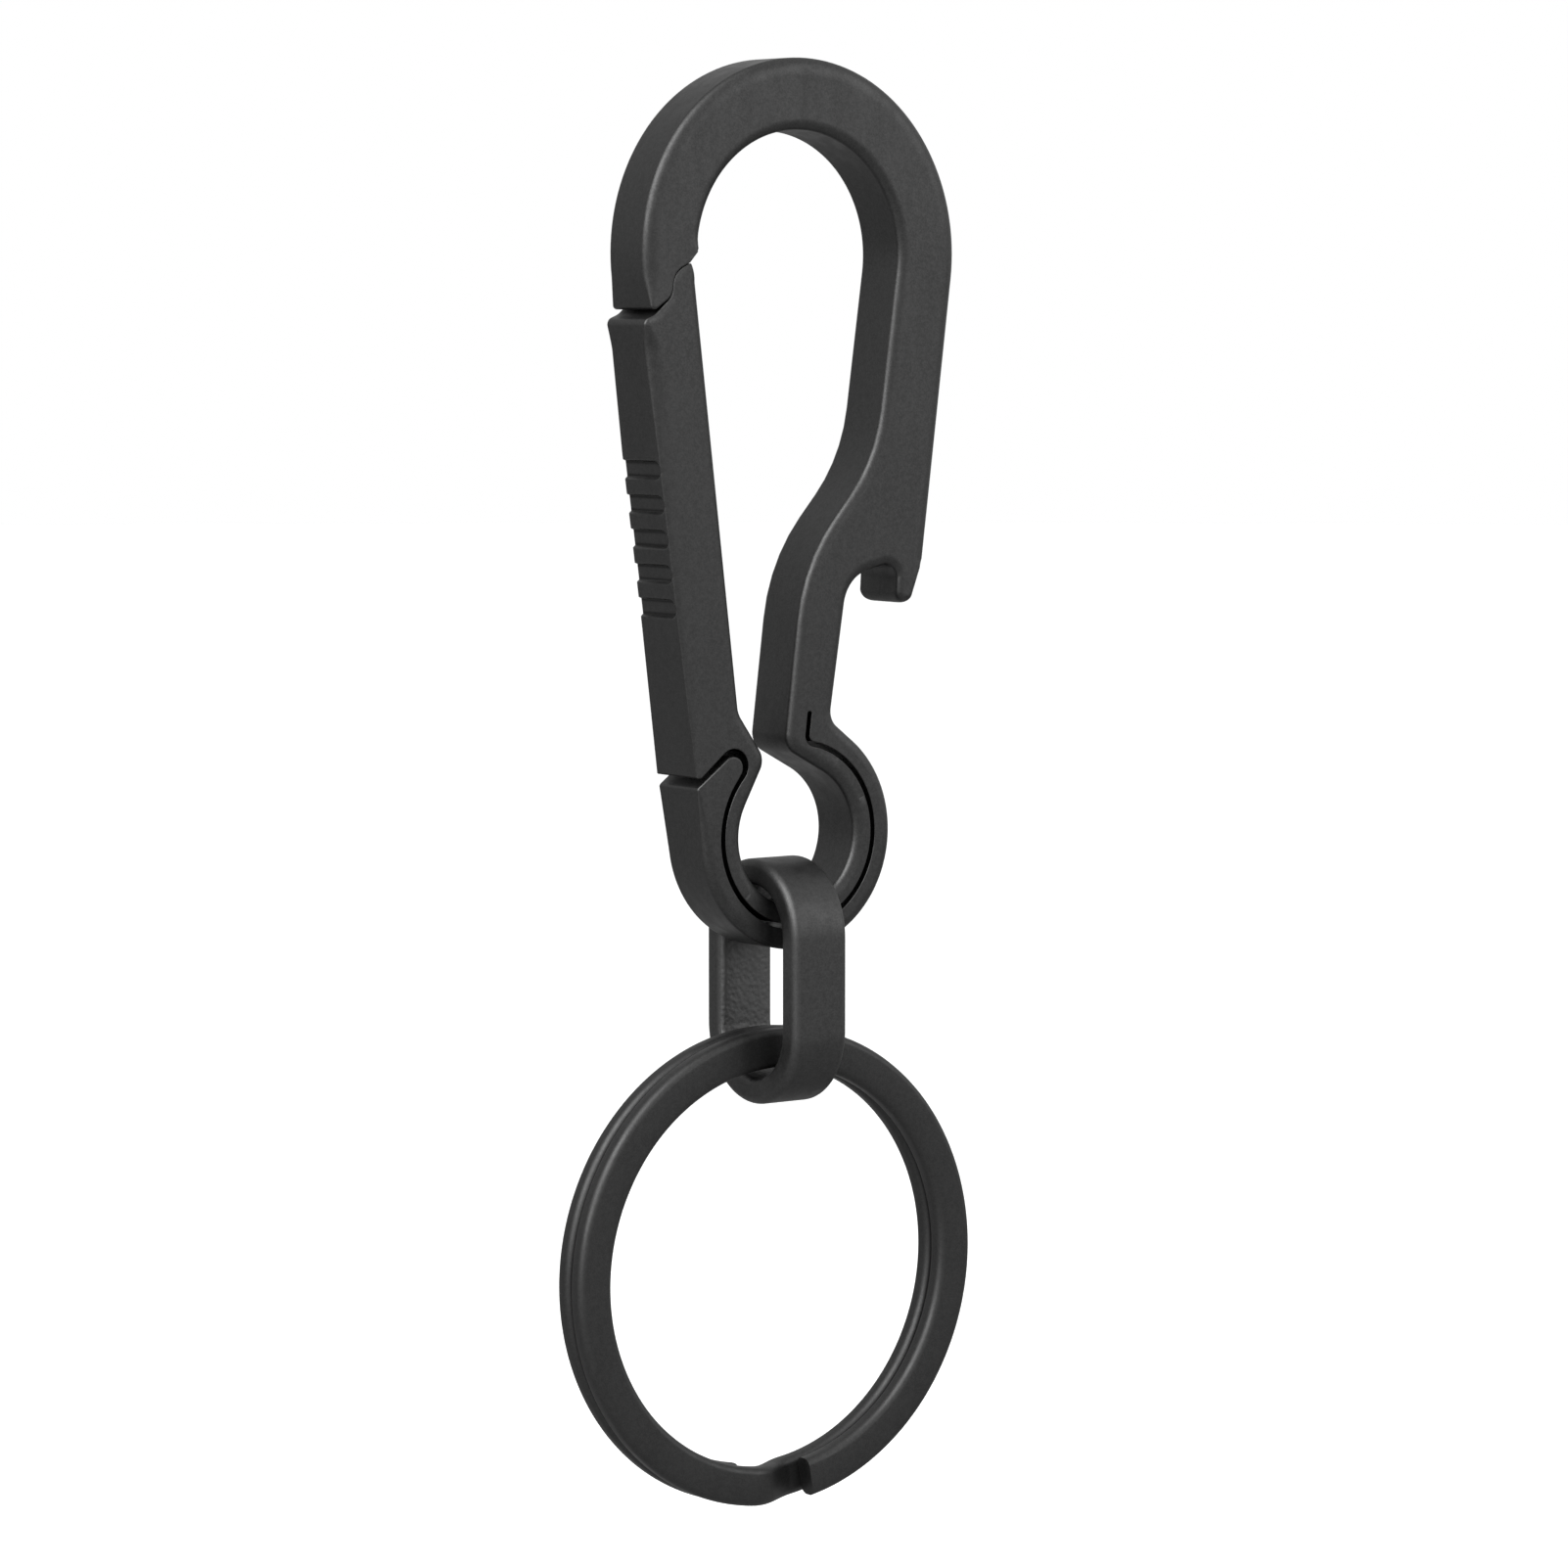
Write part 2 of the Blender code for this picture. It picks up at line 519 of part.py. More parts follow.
def grip_cutter(index, material):
    """A round-ended bar laid across the gate's outer side, open at the back face."""
    lean = math.radians(GATE_LEAN_DEG)
    z = HEEL_CORNER[1] - GRIP_TOP_DROP - GRIP_PITCH * index
    x = gate_outer_x(z)
    mesh = bmesh.new()
    half = GRIP_WIDTH / 2
    front = -PLATE / 2 + GRIP_LAND + half
    back = PLATE / 2 + RIM
    steps = math.ceil(180 / CORNER_STEP_DEG)
    outline = [(back, -half), (back, half)]
    outline += [on_circle((front, 0.0), half, 90 + 180 * step / steps) for step in range(steps + 1)]
    outward = GRIP_DEPTH * 2
    inner = [mesh.verts.new((GRIP_DEPTH, y, height)) for y, height in outline]
    outer = [mesh.verts.new((-outward, y, height)) for y, height in outline]
    count = len(outline)
    for i in range(count):
        j = (i + 1) % count
        mesh.faces.new((inner[i], inner[j], outer[j], outer[i]))
    mesh.faces.new(inner)
    mesh.faces.new(list(reversed(outer)))
    bmesh.ops.recalc_face_normals(mesh, faces=mesh.faces)
    name = f"grip_cutter_{index + 1}"
    data = bpy.data.meshes.new(name)
    mesh.to_mesh(data)
    mesh.free()
    data.materials.append(material)
    cutter = bpy.data.objects.new(name, data)
    cutter.location = (x - ORIGIN[0], 0.0, z - ORIGIN[1])
    cutter.rotation_euler = (0.0, -lean, 0.0)
    cutter.hide_render = True
    cutter.display_type = "WIRE"
    bpy.context.scene.collection.objects.link(cutter)
    return cutter


def build_frame(material):
    add_piece("carabiner_frame", plate_mesh("carabiner_frame", frame_outline(), ORIGIN), material, ORIGIN)


def build_leaf(material):
    for index in range(LEAF_PIECES):
        name = f"leaf_spring_{index + 1}"
        pivot = bending_centre(index)
        add_piece(name, plate_mesh(name, leaf_outline(index), pivot), material, pivot)


def build_gate(material):
    pivot = bending_centre(LEAF_PIECES)
    gate = add_piece("gate", plate_mesh("gate", gate_outline(), pivot), material, pivot)
    for index in range(GRIPS):
        cut = gate.modifiers.new(f"grip_{index + 1}", "BOOLEAN")
        cut.operation = "DIFFERENCE"
        cut.solver = "EXACT"
        cut.object = grip_cutter(index, material)


def build_link(material):
    """A closed loop of flat strip in the YZ plane; its pivot is the centre of the ring's hole."""
    radius = (LINK_DEPTH - LINK_STRIP) / 2
    top = LINK_TOP_Z - LINK_DEPTH / 2
    bottom = LINK_BOTTOM_Z + LINK_DEPTH / 2
    stations = []
    steps = math.ceil(180 / LINK_STEP_DEG)
    for centre_z, start in ((top, 0), (bottom, 180)):
        for step in range(steps + 1):
            angle = math.radians(start + 180 * step / steps)
            out = Vector((0.0, math.cos(angle), math.sin(angle)))
            place = Vector((LINK_X, 0.0, centre_z)) + out * radius
            stations.append((place, out, Vector((1.0, 0.0, 0.0))))
    section = rounded_bar(LINK_STRIP, LINK_WIDTH, LINK_EDGE)
    data = swept_mesh("connector_link", stations, section, closed=True)
    add_piece("connector_link", data, material, HOLE)


def build_split_ring(material):
    """Two turns of flat wire, side by side, with a step from the front turn to the back one."""
    swing = (LINK_X, LINK_BOTTOM_Z + LINK_DEPTH / 2)
    centre = Vector((SPLIT_X - swing[0], 0.0, SPLIT_Z - swing[1]))
    side = (SPLIT_COIL + SPLIT_COIL_GAP) / 2
    jog_start = 360.0 - SPLIT_JOG_DEG
    total = 720.0 - SPLIT_JOG_DEG - 2 * SPLIT_END_GAP_DEG
    steps = math.ceil(total / SPLIT_STEP_DEG)
    radius = SPLIT_RADIUS - SPLIT_BAND / 2
    stations = []
    for step in range(steps + 1):
        along = total * step / steps
        part = min(max((along - jog_start + SPLIT_END_GAP_DEG) / SPLIT_JOG_DEG, 0.0), 1.0)
        depth = side * (2 * part * part * (3 - 2 * part) - 1)
        angle = math.radians(SPLIT_START_DEG + along)
        out = Vector((math.cos(angle), 0.0, math.sin(angle)))
        place = centre + out * radius + Vector((0.0, depth, 0.0))
        stations.append((place, out, Vector((0.0, 1.0, 0.0))))
    section = rounded_bar(SPLIT_BAND, SPLIT_COIL, SPLIT_EDGE)
    data = swept_mesh("split_ring", stations, section, closed=False)
    add_piece("split_ring", data, material, swing)


def main():
    for thing in list(bpy.data.objects):
        bpy.data.objects.remove(thing, do_unlink=True)
    plate = metal("coated_plate", (0.055, 0.056, 0.058), 0.42)
    strip = metal("coated_strip", (0.06, 0.061, 0.063), 0.45)
    wire = metal("coated_wire", (0.04, 0.041, 0.043), 0.38)
    build_frame(plate)
    build_leaf(plate)
    build_gate(plate)
    build_link(strip)
    build_split_ring(wire)


if __name__ == "__main__":
    main()
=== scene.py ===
"""Studio scene of a carabiner keyring in matte black coated metal.

A one-piece spring carabiner, a connector link of flat strip and a split ring of two coils. Laid out
as an add-on: the settings hold the sizes and colours, each operator makes one piece or one group of
like pieces, and the panel in the sidebar lists them. Sizes are in metres. Drawing axes have x to
the right and z up from the centre of the lower ring, with the plate centred on y = 0.
"""
import math

import bmesh
import bpy
import numpy as np
from bpy.props import FloatProperty, FloatVectorProperty, IntProperty, PointerProperty
from mathutils import Matrix, Vector


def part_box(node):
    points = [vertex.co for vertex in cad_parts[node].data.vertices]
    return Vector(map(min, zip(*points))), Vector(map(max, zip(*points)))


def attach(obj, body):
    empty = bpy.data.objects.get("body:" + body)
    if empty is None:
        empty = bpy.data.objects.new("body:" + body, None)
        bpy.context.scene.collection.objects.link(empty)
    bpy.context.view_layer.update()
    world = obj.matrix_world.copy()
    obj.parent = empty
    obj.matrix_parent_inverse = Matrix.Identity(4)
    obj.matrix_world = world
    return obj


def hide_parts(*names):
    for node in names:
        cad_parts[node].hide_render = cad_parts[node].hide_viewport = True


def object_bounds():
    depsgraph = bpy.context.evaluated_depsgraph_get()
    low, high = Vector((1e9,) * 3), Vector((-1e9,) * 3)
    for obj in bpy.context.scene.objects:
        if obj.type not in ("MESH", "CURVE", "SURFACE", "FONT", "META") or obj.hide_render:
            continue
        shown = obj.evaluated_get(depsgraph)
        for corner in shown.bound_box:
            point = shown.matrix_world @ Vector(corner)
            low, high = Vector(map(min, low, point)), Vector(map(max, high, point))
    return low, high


bl_info = {
    "name": "Carabiner keyring",
    "version": (1, 0, 0),
    "blender": (4, 5, 0),
    "location": "3D View > Sidebar > Keyring",
    "description": "Makes a spring carabiner with a connector link and a split ring, and its studio",
    "category": "Object",
}

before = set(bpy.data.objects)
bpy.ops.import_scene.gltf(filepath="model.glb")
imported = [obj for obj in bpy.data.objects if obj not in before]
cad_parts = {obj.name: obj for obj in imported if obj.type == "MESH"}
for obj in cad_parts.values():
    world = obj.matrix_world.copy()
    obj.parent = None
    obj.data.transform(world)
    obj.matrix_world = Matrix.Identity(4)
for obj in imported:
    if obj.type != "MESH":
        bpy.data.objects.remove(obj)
CAD_BOX = [list(corner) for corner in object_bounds()]

MM = 0.001
HOLE = (0.0, 0.0)
ARC_STEP_DEG = 2.5
CORNER_STEP_DEG = 7.0
RIM_STEPS = 7
RIM_MARGIN = 0.06 * MM           # flat metal beside a rounded edge that keeps its own shading
SHARP_TURN_DEG = 25.0
FILLET_SHARE = 0.98
SQUARE = Vector((0.0, 0.0))      # an edge that is not rounded
LEAF_PIECES = 8
LEAF_START_DEG = 56.0
LEAF_END_DEG = -202.0

# Where the drawn outlines turn, and how tightly
ARCH_END_DEG = 187.0
INNER_DEG = 178.25               # where the nose meets the inside of the arch
NOSE_HEEL_RADIUS = 0.3 * MM
NOSE_RADII = (1.0 * MM, 1.35 * MM, 0.15 * MM)
NOSE_INNER_RADIUS = 0.45 * MM
SPINE_BEND = (6.5 * MM, 24.7 * MM)
SPINE_BEND_RADIUS = 11.0 * MM
WAIST = (0.57 * MM, 17.9 * MM)
WAIST_RADIUS = 12.4 * MM
NECK_FOOT_RISE = 1.15 * MM       # above the hole
NECK_FOOT_RADIUS = 1.4 * MM
LEAF_ROOT_OFFSET = 1.385 * MM    # from the neck's inner side to the slot
SLOT_RISE = 0.55 * MM            # how far the slot runs up the neck, past the ring
SLOT_END_SHARE = 0.45
ROOT_RADIUS = 0.4 * MM
ROOT_CLEAR_DEG = 8.0             # the slot's arcs stop short of its corners, to leave room for them
WALL_CLEAR_DEG = 5.0
STUB_RADIUS = 0.77 * MM
STUB_DEG = 138.3
STUB_SHOULDER_Z = 3.45 * MM
STUB_SHOULDER_RADIUS = 0.25 * MM
FLARE_DEG = 52.0
FLARE_RADIUS = 1.3 * MM
OPENER_MOUTH = (4.2 * MM, 16.9 * MM, 2.6 * MM)
OPENER_CEILING = (8.3 * MM, 17.85 * MM, 0.9 * MM)
TOOTH_INNER = (8.15 * MM, 15.05 * MM, 0.7 * MM)
TOOTH_OUTER = (9.45 * MM, 15.0 * MM, 0.7 * MM)
TOOTH_RIM = Vector((0.5 * MM, 0.95 * MM))
TOOTH_HEEL_Z = 17.6 * MM
TOOTH_HEEL_RADIUS = 3.0 * MM
GATE_SHOULDER_RADIUS = 0.5 * MM
GATE_FOOT_GAP = 0.7 * MM         # between the gate's foot and the stub's shoulder
GATE_FOOT_STEP = 0.4 * MM
GATE_FOOT_RADIUS = 0.12 * MM
GATE_TIP_RADIUS = 2.4 * MM
GATE_JOINT_RADII = (0.12 * MM, 1.35 * MM, 1.0 * MM, 1.2 * MM)
HOLE_LEAVE_DEG = 152.0           # where the gate's inner side leaves the hole
BULGE_RADIUS = 1.3 * MM
BULGE_NECK_RADIUS = 1.5 * MM
SHOULDER_COLUMNS = 20            # how finely the gate's wall is cut for its grips
GRIP_COLUMNS = 190
GRIP_RINGS = 44
GRIP_SOFTNESS = 0.16 * MM
WIRE_STEPS = 700
COIL_END_CHAMFER = 0.45 * MM
BOX_MARGIN = 0.005 * MM          # keeps the split ring just inside its CAD box
RUBBED_EDGE = 0.15 * MM          # edges rounder than this show less wear
SHARPEST_EDGE = 0.12 * MM        # and so do edges tighter than this


def length(name, description, millimetres):
    return FloatProperty(name=name, description=description, default=millimetres * MM, min=0.0,
                         unit="LENGTH", precision=5)


def spot(name, description, x, z):
    return FloatVectorProperty(name=name, description=description, default=(x * MM, z * MM), size=2,
                               unit="LENGTH", precision=5)


def turn(name, description, degrees):
    return FloatProperty(name=name, description=description, default=math.radians(degrees),
                         unit="ROTATION")


def shade(name, description, red, green, blue):
    return FloatVectorProperty(name=name, description=description, default=(red, green, blue), size=3,
                               min=0.0, max=1.0, subtype="COLOR")


def share(name, description, value, top=1.0):
    return FloatProperty(name=name, description=description, default=value, min=0.0, max=top)


# ---------------------------------------------------------------------------------------- settings

class KEYRING_PG_plate(bpy.types.PropertyGroup):
    thickness: length("Thickness", "Thickness of the carabiner", 4.5)
    wide_rim: length("Wide rim", "Width of the outer rounding of arch, spine and gate", 1.1)
    wide_depth: length("Wide rim depth", "How far that rounding reaches down the wall", 0.55)
    grip_depth_rim: length("Rim depth at the grips", "How far it reaches down beside the grips", 0.2)
    rim: length("Rim", "Rounding of the other handled edges", 0.7)
    rim_depth: length("Rim depth", "How far that rounding reaches down the wall", 0.45)
    cut_edge: length("Cut edge", "Rounding of the edges of nose and stub", 0.12)
    edge_break: length("Edge break", "Rounding of the edges along the slots", 0.05)
    joint_gap: length("Joint gap", "Gap between nose and gate along their joint", 0.03)
    ring_hole: length("Ring hole", "Radius of the lower ring's hole", 4.65)
    leaf: length("Leaf", "Thickness of the leaf spring", 1.265)
    slot: length("Slot", "Width of the slot behind the leaf spring", 0.34)
    ring_wall: length("Ring wall", "Thickness of the lower ring outside the slot", 1.345)
    throat_centre: spot("Throat centre", "Centre of the arch's inside", 0.2, 38.1)
    throat: length("Throat", "Radius of the arch's inside", 8.1)
    arch_side: length("Arch side", "Thickness of the arch at its sides", 4.45)
    arch_crown: length("Arch crown", "Thickness of the arch at its top", 4.65)
    neck: length("Neck", "Width of the neck above the lower ring", 3.45)
    spine_lean: turn("Spine lean", "Lean of the spine's outer side", 7.3)
    neck_lean: turn("Neck lean", "Lean of the neck", 7.07)
    grips: IntProperty(name="Grips", description="Number of thumb grips", default=5, min=0, max=9)
    grip_pitch: length("Grip pitch", "Distance between thumb grips", 2.27)
    grip_width: length("Grip width", "Height of one thumb grip", 1.15)
    grip_depth: length("Grip depth", "Depth of the thumb grips", 0.28)
    grip_land: length("Grip land", "Plain metal between the grips and the front face", 0.22)
    grip_drop: length("Grip drop", "From the nose's heel to the top grip", 10.12)
    colour: shade("Colour", "Colour of the coating", 0.056, 0.056, 0.056)
    # Also the colour of the painted highlight along the thumb grips' lips.
    worn_and_highlight: shade("Worn colour", "Colour of the coating where edges have rubbed", 0.13, 0.13, 0.13)
    roughness: share("Roughness", "Roughness of the blasted coating", 0.44)
    grain: length("Grain", "Size of the blasted grain", 0.11)


class KEYRING_PG_link(bpy.types.PropertyGroup):
    width: length("Width", "Width of the strip", 4.35)
    strip: length("Strip", "Thickness of the strip", 1.75)
    edge: length("Edge", "Rounding of the strip's edges", 0.55)
    colour: shade("Colour", "Colour of the coating", 0.062, 0.062, 0.062)
    roughness: share("Roughness", "Roughness of the coating", 0.5)
    pebble: length("Pebble", "Size of the pebbled texture on the inside", 0.3)


class KEYRING_PG_split_ring(bpy.types.PropertyGroup):
    radius: length("Radius", "Outer radius", 16.0)
    band: length("Band", "Width of the wire across the ring", 2.6)
    coil: length("Coil", "Thickness of one coil", 1.35)
    coil_gap: length("Coil gap", "Gap between the coils", 0.14)
    edge: length("Edge", "Rounding of the wire's edges", 0.5)
    start: turn("Start", "Direction of the front coil's end", -80.0)
    jog: turn("Step", "Length of the step from the front coil to the back one", 15.0)
    end_gap: turn("End gap", "Room that each end leaves before the step", 2.5)
    colour: shade("Colour", "Colour of the coating", 0.049, 0.049, 0.049)
    roughness: share("Roughness", "Roughness of the coating", 0.5)


class KEYRING_PG_stage(bpy.types.PropertyGroup):
    floor_colour: shade("Floor colour", "Colour of the floor", 0.94, 0.94, 0.94)
    floor_reflected: share("Floor in reflections", "Share of the floor's brightness that metal sees", 0.24)
    floor_drop: length("Floor drop", "From the keyring's lowest point to the floor", 60.0)
    azimuth: turn("Azimuth", "Direction of the camera, from the front towards the right", -35.92)
    elevation: turn("Elevation", "Height of the camera above the middle", 5.08)
    distance: length("Distance", "From the camera to the point that it looks at", 367.1)
    aim: FloatVectorProperty(name="Aim", description="The point that the camera looks at",
                             default=(-0.00082, -0.00143, -0.04284), size=3, unit="LENGTH", precision=5)
    lens: FloatProperty(name="Lens", description="Focal length in millimetres", default=127.87, min=1.0)
    backdrop: share("Backdrop", "Brightness of the white backdrop", 1.0, 4.0)
    ambient: share("Ambient", "Brightness of the room that lights the floor", 1.1, 4.0)
    room_front: share("Room in front", "Brightness that metal sees in front and to the right", 0.88, 4.0)
    room_back: share("Room behind", "Brightness that metal sees behind and to the left", 0.58, 4.0)
    key: share("Key light", "Power of the softbox at the upper left, in watts", 9.5, 100.0)
    fill: share("Fill light", "Power of the broad light at the upper right, in watts", 1.0, 100.0)
    top: share("Top light", "Power of the light overhead, in watts", 0.6, 100.0)


class KEYRING_PG_settings(bpy.types.PropertyGroup):
    plate: PointerProperty(type=KEYRING_PG_plate)
    link: PointerProperty(type=KEYRING_PG_link)
    split_ring: PointerProperty(type=KEYRING_PG_split_ring)
    stage: PointerProperty(type=KEYRING_PG_stage)


# ------------------------------------------------------------------------------- drawing-plane help

def on_circle(centre, radius, degrees):
    angle = math.radians(degrees)
    return (centre[0] + radius * math.cos(angle), centre[1] + radius * math.sin(angle))


def beside(point, x, z):
    return (point[0] + x * MM, point[1] + z * MM)


def degrees_of(point):
    return math.degrees(math.atan2(point[1], point[0]))


def arc(centre, radius, start, end, rim, rise=None):
    """Stations along an arc from start to end degrees; a rise other than radius makes an ellipse."""
    steps = max(1, math.ceil(abs(end - start) / ARC_STEP_DEG))
    stations = []
    for step in range(steps + 1):
        angle = math.radians(start + (end - start) * step / steps)
        x = centre[0] + radius * math.cos(angle)
        z = centre[1] + (radius if rise is None else rise) * math.sin(angle)
        stations.append((x, z, 0.0, rim))
    return stations


def tangent_degrees(point, centre, radius, side):
    """Direction from centre to where the line from point touches the circle; side is 1 or -1."""
    dx, dz = point[0] - centre[0], point[1] - centre[1]
    spread = math.acos(radius / math.hypot(dx, dz))
    return math.degrees(math.atan2(dz, dx) + side * spread)


def crossing(first, first_deg, second, second_deg):
    """Where two lines cross, each given by a point and a direction."""
    ux, uz = math.cos(math.radians(first_deg)), math.sin(math.radians(first_deg))
    vx, vz = math.cos(math.radians(second_deg)), math.sin(math.radians(second_deg))
    dx, dz = second[0] - first[0], second[1] - first[1]
    reach = (dx * vz - dz * vx) / (ux * vz - uz * vx)
    return (first[0] + ux * reach, first[1] + uz * reach)


def rounded(stations):
    """Turn each station with a corner radius into an arc that touches both of its sides."""
    points = []
    count = len(stations)
    for i, (x, z, radius, rim) in enumerate(stations):
        here = Vector((x, z))
        if not radius:
            points.append((here, rim))
            continue
        before = Vector(stations[i - 1][:2]) - here
        after = Vector(stations[(i + 1) % count][:2]) - here
        corner = before.angle(after)
        reach = radius / math.tan(corner / 2)
        limit = min(before.length, after.length) * FILLET_SHARE
        if reach > limit:
            radius *= limit / reach
            reach = limit
        middle = (before.normalized() + after.normalized()).normalized()
        centre = here + middle * (radius / math.sin(corner / 2))
        first = here + before.normalized() * reach - centre
        sweep = math.pi - corner
        if first.y * before.x < first.x * before.y:
            sweep = -sweep
        steps = max(2, math.ceil(math.degrees(abs(sweep)) / CORNER_STEP_DEG))
        rim_before = stations[i - 1][3]
        for step in range(steps + 1):
            part = step / steps
            place = Matrix.Rotation(sweep * part, 2) @ first + centre
            points.append((place, rim_before + (rim - rim_before) * part))
    return points


class PlateShape:
    """Outlines of the pieces that are cut from the plate, counter-clockwise from the front."""

    def __init__(self, sizes):
        self.sizes = sizes
        self.wide = Vector((sizes.wide_rim, sizes.wide_depth))
        self.beside_grips = Vector((sizes.wide_rim * 1.15, sizes.grip_depth_rim))
        self.rim = Vector((sizes.rim, sizes.rim_depth))
        self.cut = Vector((sizes.cut_edge, sizes.cut_edge))
        self.joint_rim = Vector((0.5, 0.16)) * MM
        self.slit = Vector((sizes.edge_break, sizes.edge_break))
        self.leaf_outer = sizes.ring_hole + sizes.leaf
        self.wall_inner = self.leaf_outer + sizes.slot
        self.ring_outer = self.wall_inner + sizes.ring_wall
        self.throat = tuple(sizes.throat_centre)
        self.origin = on_circle(self.throat, sizes.throat, 90.0)
        self.arch = beside(self.throat, 0.2, 0.05)
        self.arch_width = sizes.throat + sizes.arch_side
        self.arch_rise = sizes.throat + sizes.arch_crown
        self.inner = on_circle(self.throat, sizes.throat, INNER_DEG)
        self.heel = beside(self.inner, -3.72, -4.02)
        self.joint = [beside(self.inner, *offset) for offset in
                      ((-2.14, -2.95), (-1.95, -1.42), (-0.72, -0.8))]
        self.gate_shoulder = beside(self.inner, -4.35, -4.5)
        self.gate_tip = beside(self.inner, -0.27, -1.45)
        self.gate_touch = tangent_degrees(self.gate_shoulder, HOLE, self.ring_outer, 1) % 360.0
        self.gate_lean = math.radians(self.gate_touch - 180.0)
        self.stub_tip = on_circle(HOLE, self.wall_inner + STUB_RADIUS, STUB_DEG)

    def gate_outer_x(self, z):
        """The outer side of gate and stub, which touches the lower ring."""
        return -self.ring_outer / math.cos(self.gate_lean) - z * math.tan(self.gate_lean)

    def neck_inner_x(self, z):
        return WAIST[0] - (WAIST[1] - z) * math.tan(self.sizes.neck_lean)

    def root_outer_x(self, z):
        """The leaf's outer side beside the neck, parallel to the neck's inner side."""
        return self.neck_inner_x(z) + LEAF_ROOT_OFFSET

    def spine_leave(self):
        """Direction on the arch's ellipse where the spine's outer side leaves it."""
        return -math.degrees(math.atan(math.tan(self.sizes.spine_lean) * self.arch_rise / self.arch_width))

    def spine_outer_x(self, z):
        angle = math.radians(self.spine_leave())
        top = (self.arch[0] + self.arch_width * math.cos(angle),
               self.arch[1] + self.arch_rise * math.sin(angle))
        return top[0] - (top[1] - z) * math.tan(self.sizes.spine_lean)

    def beside_root(self, offset, radius):
        """Where a line beside the leaf's root, parallel to the neck, crosses a circle round the hole."""
        lean = self.sizes.neck_lean
        foot = self.root_outer_x(0.0) + offset
        along = math.sqrt(radius ** 2 - (foot * math.cos(lean)) ** 2) - foot * math.sin(lean)
        return (foot + along * math.sin(lean), along * math.cos(lean))

    def joint_line(self, side):
        """The S-shaped joint between nose and gate, moved half the gap to one side of its middle."""
        line = [self.heel, *self.joint, self.inner]
        gap = self.sizes.joint_gap / 2
        moved = []
        for before, here, after in zip(line, line[1:], line[2:]):
            along = Vector((after[0] - before[0], after[1] - before[1])).normalized()
            moved.append((here[0] - along.y * side * gap, here[1] + along.x * side * gap))
        return moved

    def frame(self):
        """Arch, nose, spine, opener, neck, ring wall and stub."""
        sizes, rim, slit, cut_edge = self.sizes, self.rim, self.slit, self.cut
        outline = arc(self.arch, self.arch_width, self.spine_leave(), ARCH_END_DEG, self.wide,
                      self.arch_rise)
        outline.append((*self.heel, NOSE_HEEL_RADIUS, cut_edge))
        outline += [(*point, radius, cut_edge) for point, radius in zip(self.joint_line(1), NOSE_RADII)]
        outline.append((*self.inner, NOSE_INNER_RADIUS, rim))
        end = tangent_degrees(SPINE_BEND, self.throat, sizes.throat, 1)
        outline += arc(self.throat, sizes.throat, INNER_DEG - ARC_STEP_DEG, end, rim)
        outline += [(*SPINE_BEND, SPINE_BEND_RADIUS, rim), (*WAIST, WAIST_RADIUS, rim)]

        foot_z = sizes.ring_hole + NECK_FOOT_RISE
        foot = (self.neck_inner_x(foot_z), foot_z)
        touch = tangent_degrees(foot, HOLE, sizes.ring_hole, -1)
        outline.append((*foot, NECK_FOOT_RADIUS, rim))
        outline += arc(HOLE, sizes.ring_hole, touch, LEAF_START_DEG, rim)[:-1]
        outline.append((*on_circle(HOLE, sizes.ring_hole, LEAF_START_DEG), 0.0, SQUARE))

        slot_top = self.ring_outer + SLOT_RISE
        slot_x = self.root_outer_x(slot_top)
        slot_end = sizes.slot * SLOT_END_SHARE
        root = self.beside_root(0.0, self.leaf_outer)
        wall = self.beside_root(sizes.slot, self.wall_inner)
        outline += arc(HOLE, self.leaf_outer, LEAF_START_DEG, degrees_of(root) - ROOT_CLEAR_DEG, slit)
        outline += [(*root, ROOT_RADIUS + sizes.slot, slit), (slot_x, slot_top, slot_end, slit),
                    (slot_x + sizes.slot, slot_top, slot_end, slit), (*wall, ROOT_RADIUS, slit)]

        shoulder = (self.gate_outer_x(STUB_SHOULDER_Z), STUB_SHOULDER_Z)
        slope = tangent_degrees(shoulder, self.stub_tip, STUB_RADIUS, -1) % 360.0
        outline += arc(HOLE, self.wall_inner, degrees_of(wall) - WALL_CLEAR_DEG, STUB_DEG - 360.0,
                       slit)[:-1]
        outline += arc(self.stub_tip, STUB_RADIUS, STUB_DEG - 180.0, slope, cut_edge)
        outline.append((*shoulder, STUB_SHOULDER_RADIUS, rim))

        outline += arc(HOLE, self.ring_outer, self.gate_touch, 360.0 + FLARE_DEG, rim)
        flare = crossing(on_circle(HOLE, self.ring_outer, FLARE_DEG), FLARE_DEG + 90.0,
                         (self.neck_inner_x(0.0) + sizes.neck, 0.0),
                         90.0 - math.degrees(sizes.neck_lean))
        outline += [(*flare, FLARE_RADIUS, rim), (*OPENER_MOUTH, rim), (*OPENER_CEILING, 0.65 * rim),
                    (*TOOTH_INNER, TOOTH_RIM), (*TOOTH_OUTER, TOOTH_RIM)]
        outline.append((self.spine_outer_x(TOOTH_HEEL_Z), TOOTH_HEEL_Z, TOOTH_HEEL_RADIUS, self.wide))
        return outline

    def leaf(self, index):
        """One arc of the leaf spring, between two bending points."""
        step = (LEAF_END_DEG - LEAF_START_DEG) / LEAF_PIECES
        high = LEAF_START_DEG + step * index
        low = high + step
        outline = arc(HOLE, self.leaf_outer, low, high, self.slit)
        outline[-1] = (*outline[-1][:3], SQUARE)
        outline += arc(HOLE, self.sizes.ring_hole, high, low, self.rim)[:-1]
        outline.append((*on_circle(HOLE, self.sizes.ring_hole, low), 0.0, SQUARE))
        return outline

